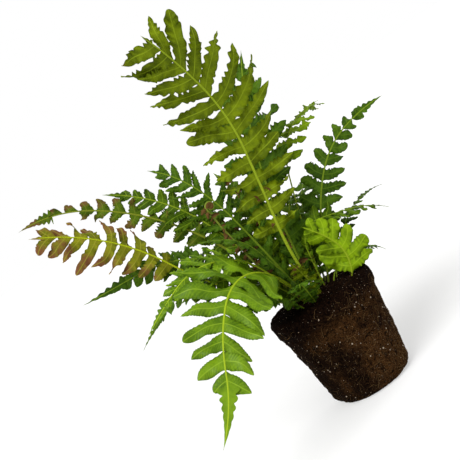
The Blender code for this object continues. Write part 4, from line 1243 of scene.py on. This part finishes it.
def soil_finish():
    """Packed soil: black at the shoulder as painted shade, brown patches below and to the right that are
    partly painted light, matted with fine fibres, and painted shade in its pits.
    """
    material, tree, shader = new_finish("potting_soil", 0.95, 0.02)
    place = own_place(tree)
    axes = wire(tree, "ShaderNodeSeparateXYZ", {0: place}).outputs
    patches = cloudy(tree, place, 19.0, 5.0, 0.62).outputs["Fac"]
    # brown patches, partly painted light: more of them towards +X, none high on the shoulder, which stays
    # black as painted shade
    lit_brown_patches = steps_between(tree, raised(tree, axes[0], 1.6, patches), 0.40, 0.62)
    below = steps_between(tree, raised(tree, patches, 0.05, axes[2]), 0.160, 0.126)
    lit_brown_patches = times(tree, lit_brown_patches, below)
    grains = cloudy(tree, place, 520.0, 4.0, 0.75).outputs["Fac"]
    grain = steps_between(tree, grains, 0.38, 0.64)
    clods = cloudy(tree, place, 130.0, 3.0, 0.6).outputs["Fac"]
    pits = steps_between(tree, clods, 0.46, 0.34)
    turned = cloudy(tree, place, 70.0, 2.0).outputs["Color"]
    mixed = wire(tree, "ShaderNodeMix", {0: 0.014, 4: place, 5: turned}, data_type="VECTOR").outputs[1]
    fibres = wire(tree, "ShaderNodeTexVoronoi", {"Vector": mixed, "Scale": 330.0}, feature="DISTANCE_TO_EDGE")
    thread = steps_between(tree, fibres.outputs["Distance"], 0.10, 0.0)
    colour = blend(tree, grain, *SOIL_BLACK_AND_SHADE)
    colour = blend(tree, lit_brown_patches, colour, blend(tree, grain, *SOIL_BROWN_AND_LIGHT))
    matted = times(tree, thread, raised(tree, lit_brown_patches, 0.40, 0.12))
    colour = blend(tree, times(tree, matted, below), colour, SOIL_FIBRE)
    # painted shade: near black in the hollows between the clods
    colour = blend(tree, times(tree, pits, 0.75), colour, SOIL_PIT_SHADE)
    dots = wire(tree, "ShaderNodeTexVoronoi", {"Vector": place, "Scale": 260.0}).outputs
    near = steps_between(tree, dots["Distance"], 0.16, 0.08)
    each = wire(tree, "ShaderNodeSeparateColor", {0: dots["Color"]}).outputs[0]
    chosen = steps_between(tree, each, 0.80, 0.83)
    colour = blend(tree, times(tree, near, chosen), colour, SOIL_SPECK)
    rise = raised(tree, clods, 0.8, raised(tree, thread, 0.35, grains))
    finish_surface(tree, shader, colour, rise, 1.0, 0.0020)
    return material


def grain_finish(name, dark, light, roughness):
    """Grains, roots or scales: each in its own shade between two colours, with fine specks."""
    material, tree, shader = new_finish(name, roughness, 0.05)
    specks = cloudy(tree, own_place(tree), 700.0, 3.0).outputs["Fac"]
    share = raised(tree, reading(tree, "tint"), 0.35, specks)
    finish_surface(tree, shader, blend(tree, share, dark, light), specks, 0.6, 0.0004)
    return material


def make_finishes():
    """Every finish of the plant by its name."""
    groups = {"veins": vein_group(), "mottle": mottle_group(), "browning": browning_group()}
    finishes = {name: leaf_finish(name, leaf, groups) for name, leaf in LEAVES.items()}
    finishes["potting_soil"] = soil_finish()
    for name, look in GRAINS.items():
        finishes[name] = grain_finish(name, *look)
    return finishes


# Stage

def put(name, data, right, up, back, place):
    """An object in the scene at a place, with its three axes."""
    made = bpy.data.objects.new(name, data)
    bpy.context.scene.collection.objects.link(made)
    rows = [(right[row], up[row], back[row], place[row]) for row in range(3)]
    made.matrix_world = Matrix(rows + [(0, 0, 0, 1)])
    return made


def pale_floor():
    """A wide pale floor under the plant."""
    mesh = bpy.data.meshes.new("floor")
    corners = [(x * FLOOR_HALF, y * FLOOR_HALF, 0) for x, y in ((-1, -1), (1, -1), (1, 1), (-1, 1))]
    mesh.from_pydata(corners, [], [(0, 1, 2, 3)])
    material, _, shader = new_finish("pale_floor", 0.9, 0.1)
    shader.inputs["Base Color"].default_value = (0.45, 0.45, 0.45, 1)
    shader.inputs["Emission Color"].default_value = (1, 1, 1, 1)
    shader.inputs["Emission Strength"].default_value = 0.50
    mesh.materials.append(material)
    floor = bpy.data.objects.new("floor", mesh)
    bpy.context.scene.collection.objects.link(floor)


def add_light(name, bearing, elevation, spread, strength):
    """A far, broad light. bearing is its angle round the plant from +X, elevation its height, in degrees."""
    light = bpy.data.lights.new(name, "SUN")
    light.angle = math.radians(spread)
    light.energy = strength
    around = math.radians(bearing)
    rise = math.radians(elevation)
    axis = np.array([math.cos(around) * math.cos(rise), math.sin(around) * math.cos(rise), math.sin(rise)])
    right = unit(np.cross(UP, axis))
    put(name, light, right, np.cross(axis, right), axis, axis * 3)


def studio():
    """Pale surroundings, three soft lights, and the camera at the photograph's angle."""
    world = bpy.data.worlds.new("studio")
    world.use_nodes = True
    tree = world.node_tree
    seen = tree.nodes["Background"]
    seen.inputs["Color"].default_value = (1, 1, 1, 1)
    seen.inputs["Strength"].default_value = 1.0
    around = wire(tree, "ShaderNodeBackground", {"Color": (1.0, 0.98, 0.92), "Strength": 0.25}).outputs[0]
    direct = wire(tree, "ShaderNodeLightPath").outputs["Is Camera Ray"]
    both = wire(tree, "ShaderNodeMixShader", {0: direct, 1: around, 2: seen.outputs[0]})
    tree.links.new(both.outputs[0], tree.nodes["World Output"].inputs["Surface"])
    bpy.context.scene.world = world
    for light in LIGHTS:
        add_light(*light)
    bpy.context.scene.view_settings.view_transform = "Standard"
    camera = bpy.data.cameras.new("camera")
    camera.lens = CAMERA_LENS
    camera.sensor_width = 36
    camera.clip_end = 100
    dip = math.radians(CAMERA_DIP)
    roll = math.radians(CAMERA_ROLL)
    back = np.array([0, -math.cos(dip), math.sin(dip)])
    level = np.array([1.0, 0, 0])
    above = np.array([0, math.sin(dip), math.cos(dip)])
    across = math.cos(roll) * level - math.sin(roll) * above
    up = math.sin(roll) * level + math.cos(roll) * above
    bpy.context.scene.camera = put("camera", camera, across, up, back, CAMERA_PLACE)


def main():
    """Sets the stage, dresses every frond and the root ball, and scatters the small things over them."""
    studio()
    pale_floor()
    finishes = make_finishes()
    paths = {frond.name: frond_piece(frond, finishes) for frond in FRONDS}
    crozier_piece(finishes)
    soil, threads, grit, crumbs, scraps, scales = (Surfaces() for _ in range(6))
    soil.add(*ball_surface())
    root_threads(threads, *ROOT_THREADS)
    add_grains(grit, *grit_places(*GRIT_GRAINS[:2]), seed=GRIT_GRAINS[2])
    add_grains(crumbs, *crumb_places(*SOIL_CRUMBS[:2]), seed=SOIL_CRUMBS[2])
    for name, first, last, number, seed in SCRAPS:
        add_withered_scraps(scraps, paths[name], first, last, number, seed)
    for frond in FRONDS:
        reach = min(SCALY_FOOT / frond.length, 0.9 * frond.stem)
        half, seed = frond.rib * 0.5, frond.seed + SCALE_SEED
        add_scales(scales, paths[frond.name], reach, SCALES_PER_STEM, half, seed)
    soil.piece("packed_soil", ["root_ball"], "potting_soil", finishes["potting_soil"])
    threads.piece("root_threads", [], "potting_soil", finishes["roots"])
    grit.piece("white_grit", [], "potting_soil", finishes["grit"])
    crumbs.piece("soil_crumbs", [], "potting_soil", finishes["crumbs"])
    scraps.piece("withered_scraps", [], "withered_leaf", finishes["withered_leaf"])
    scales.piece("stem_scales", [], "withered_leaf", finishes["scales"])


main()
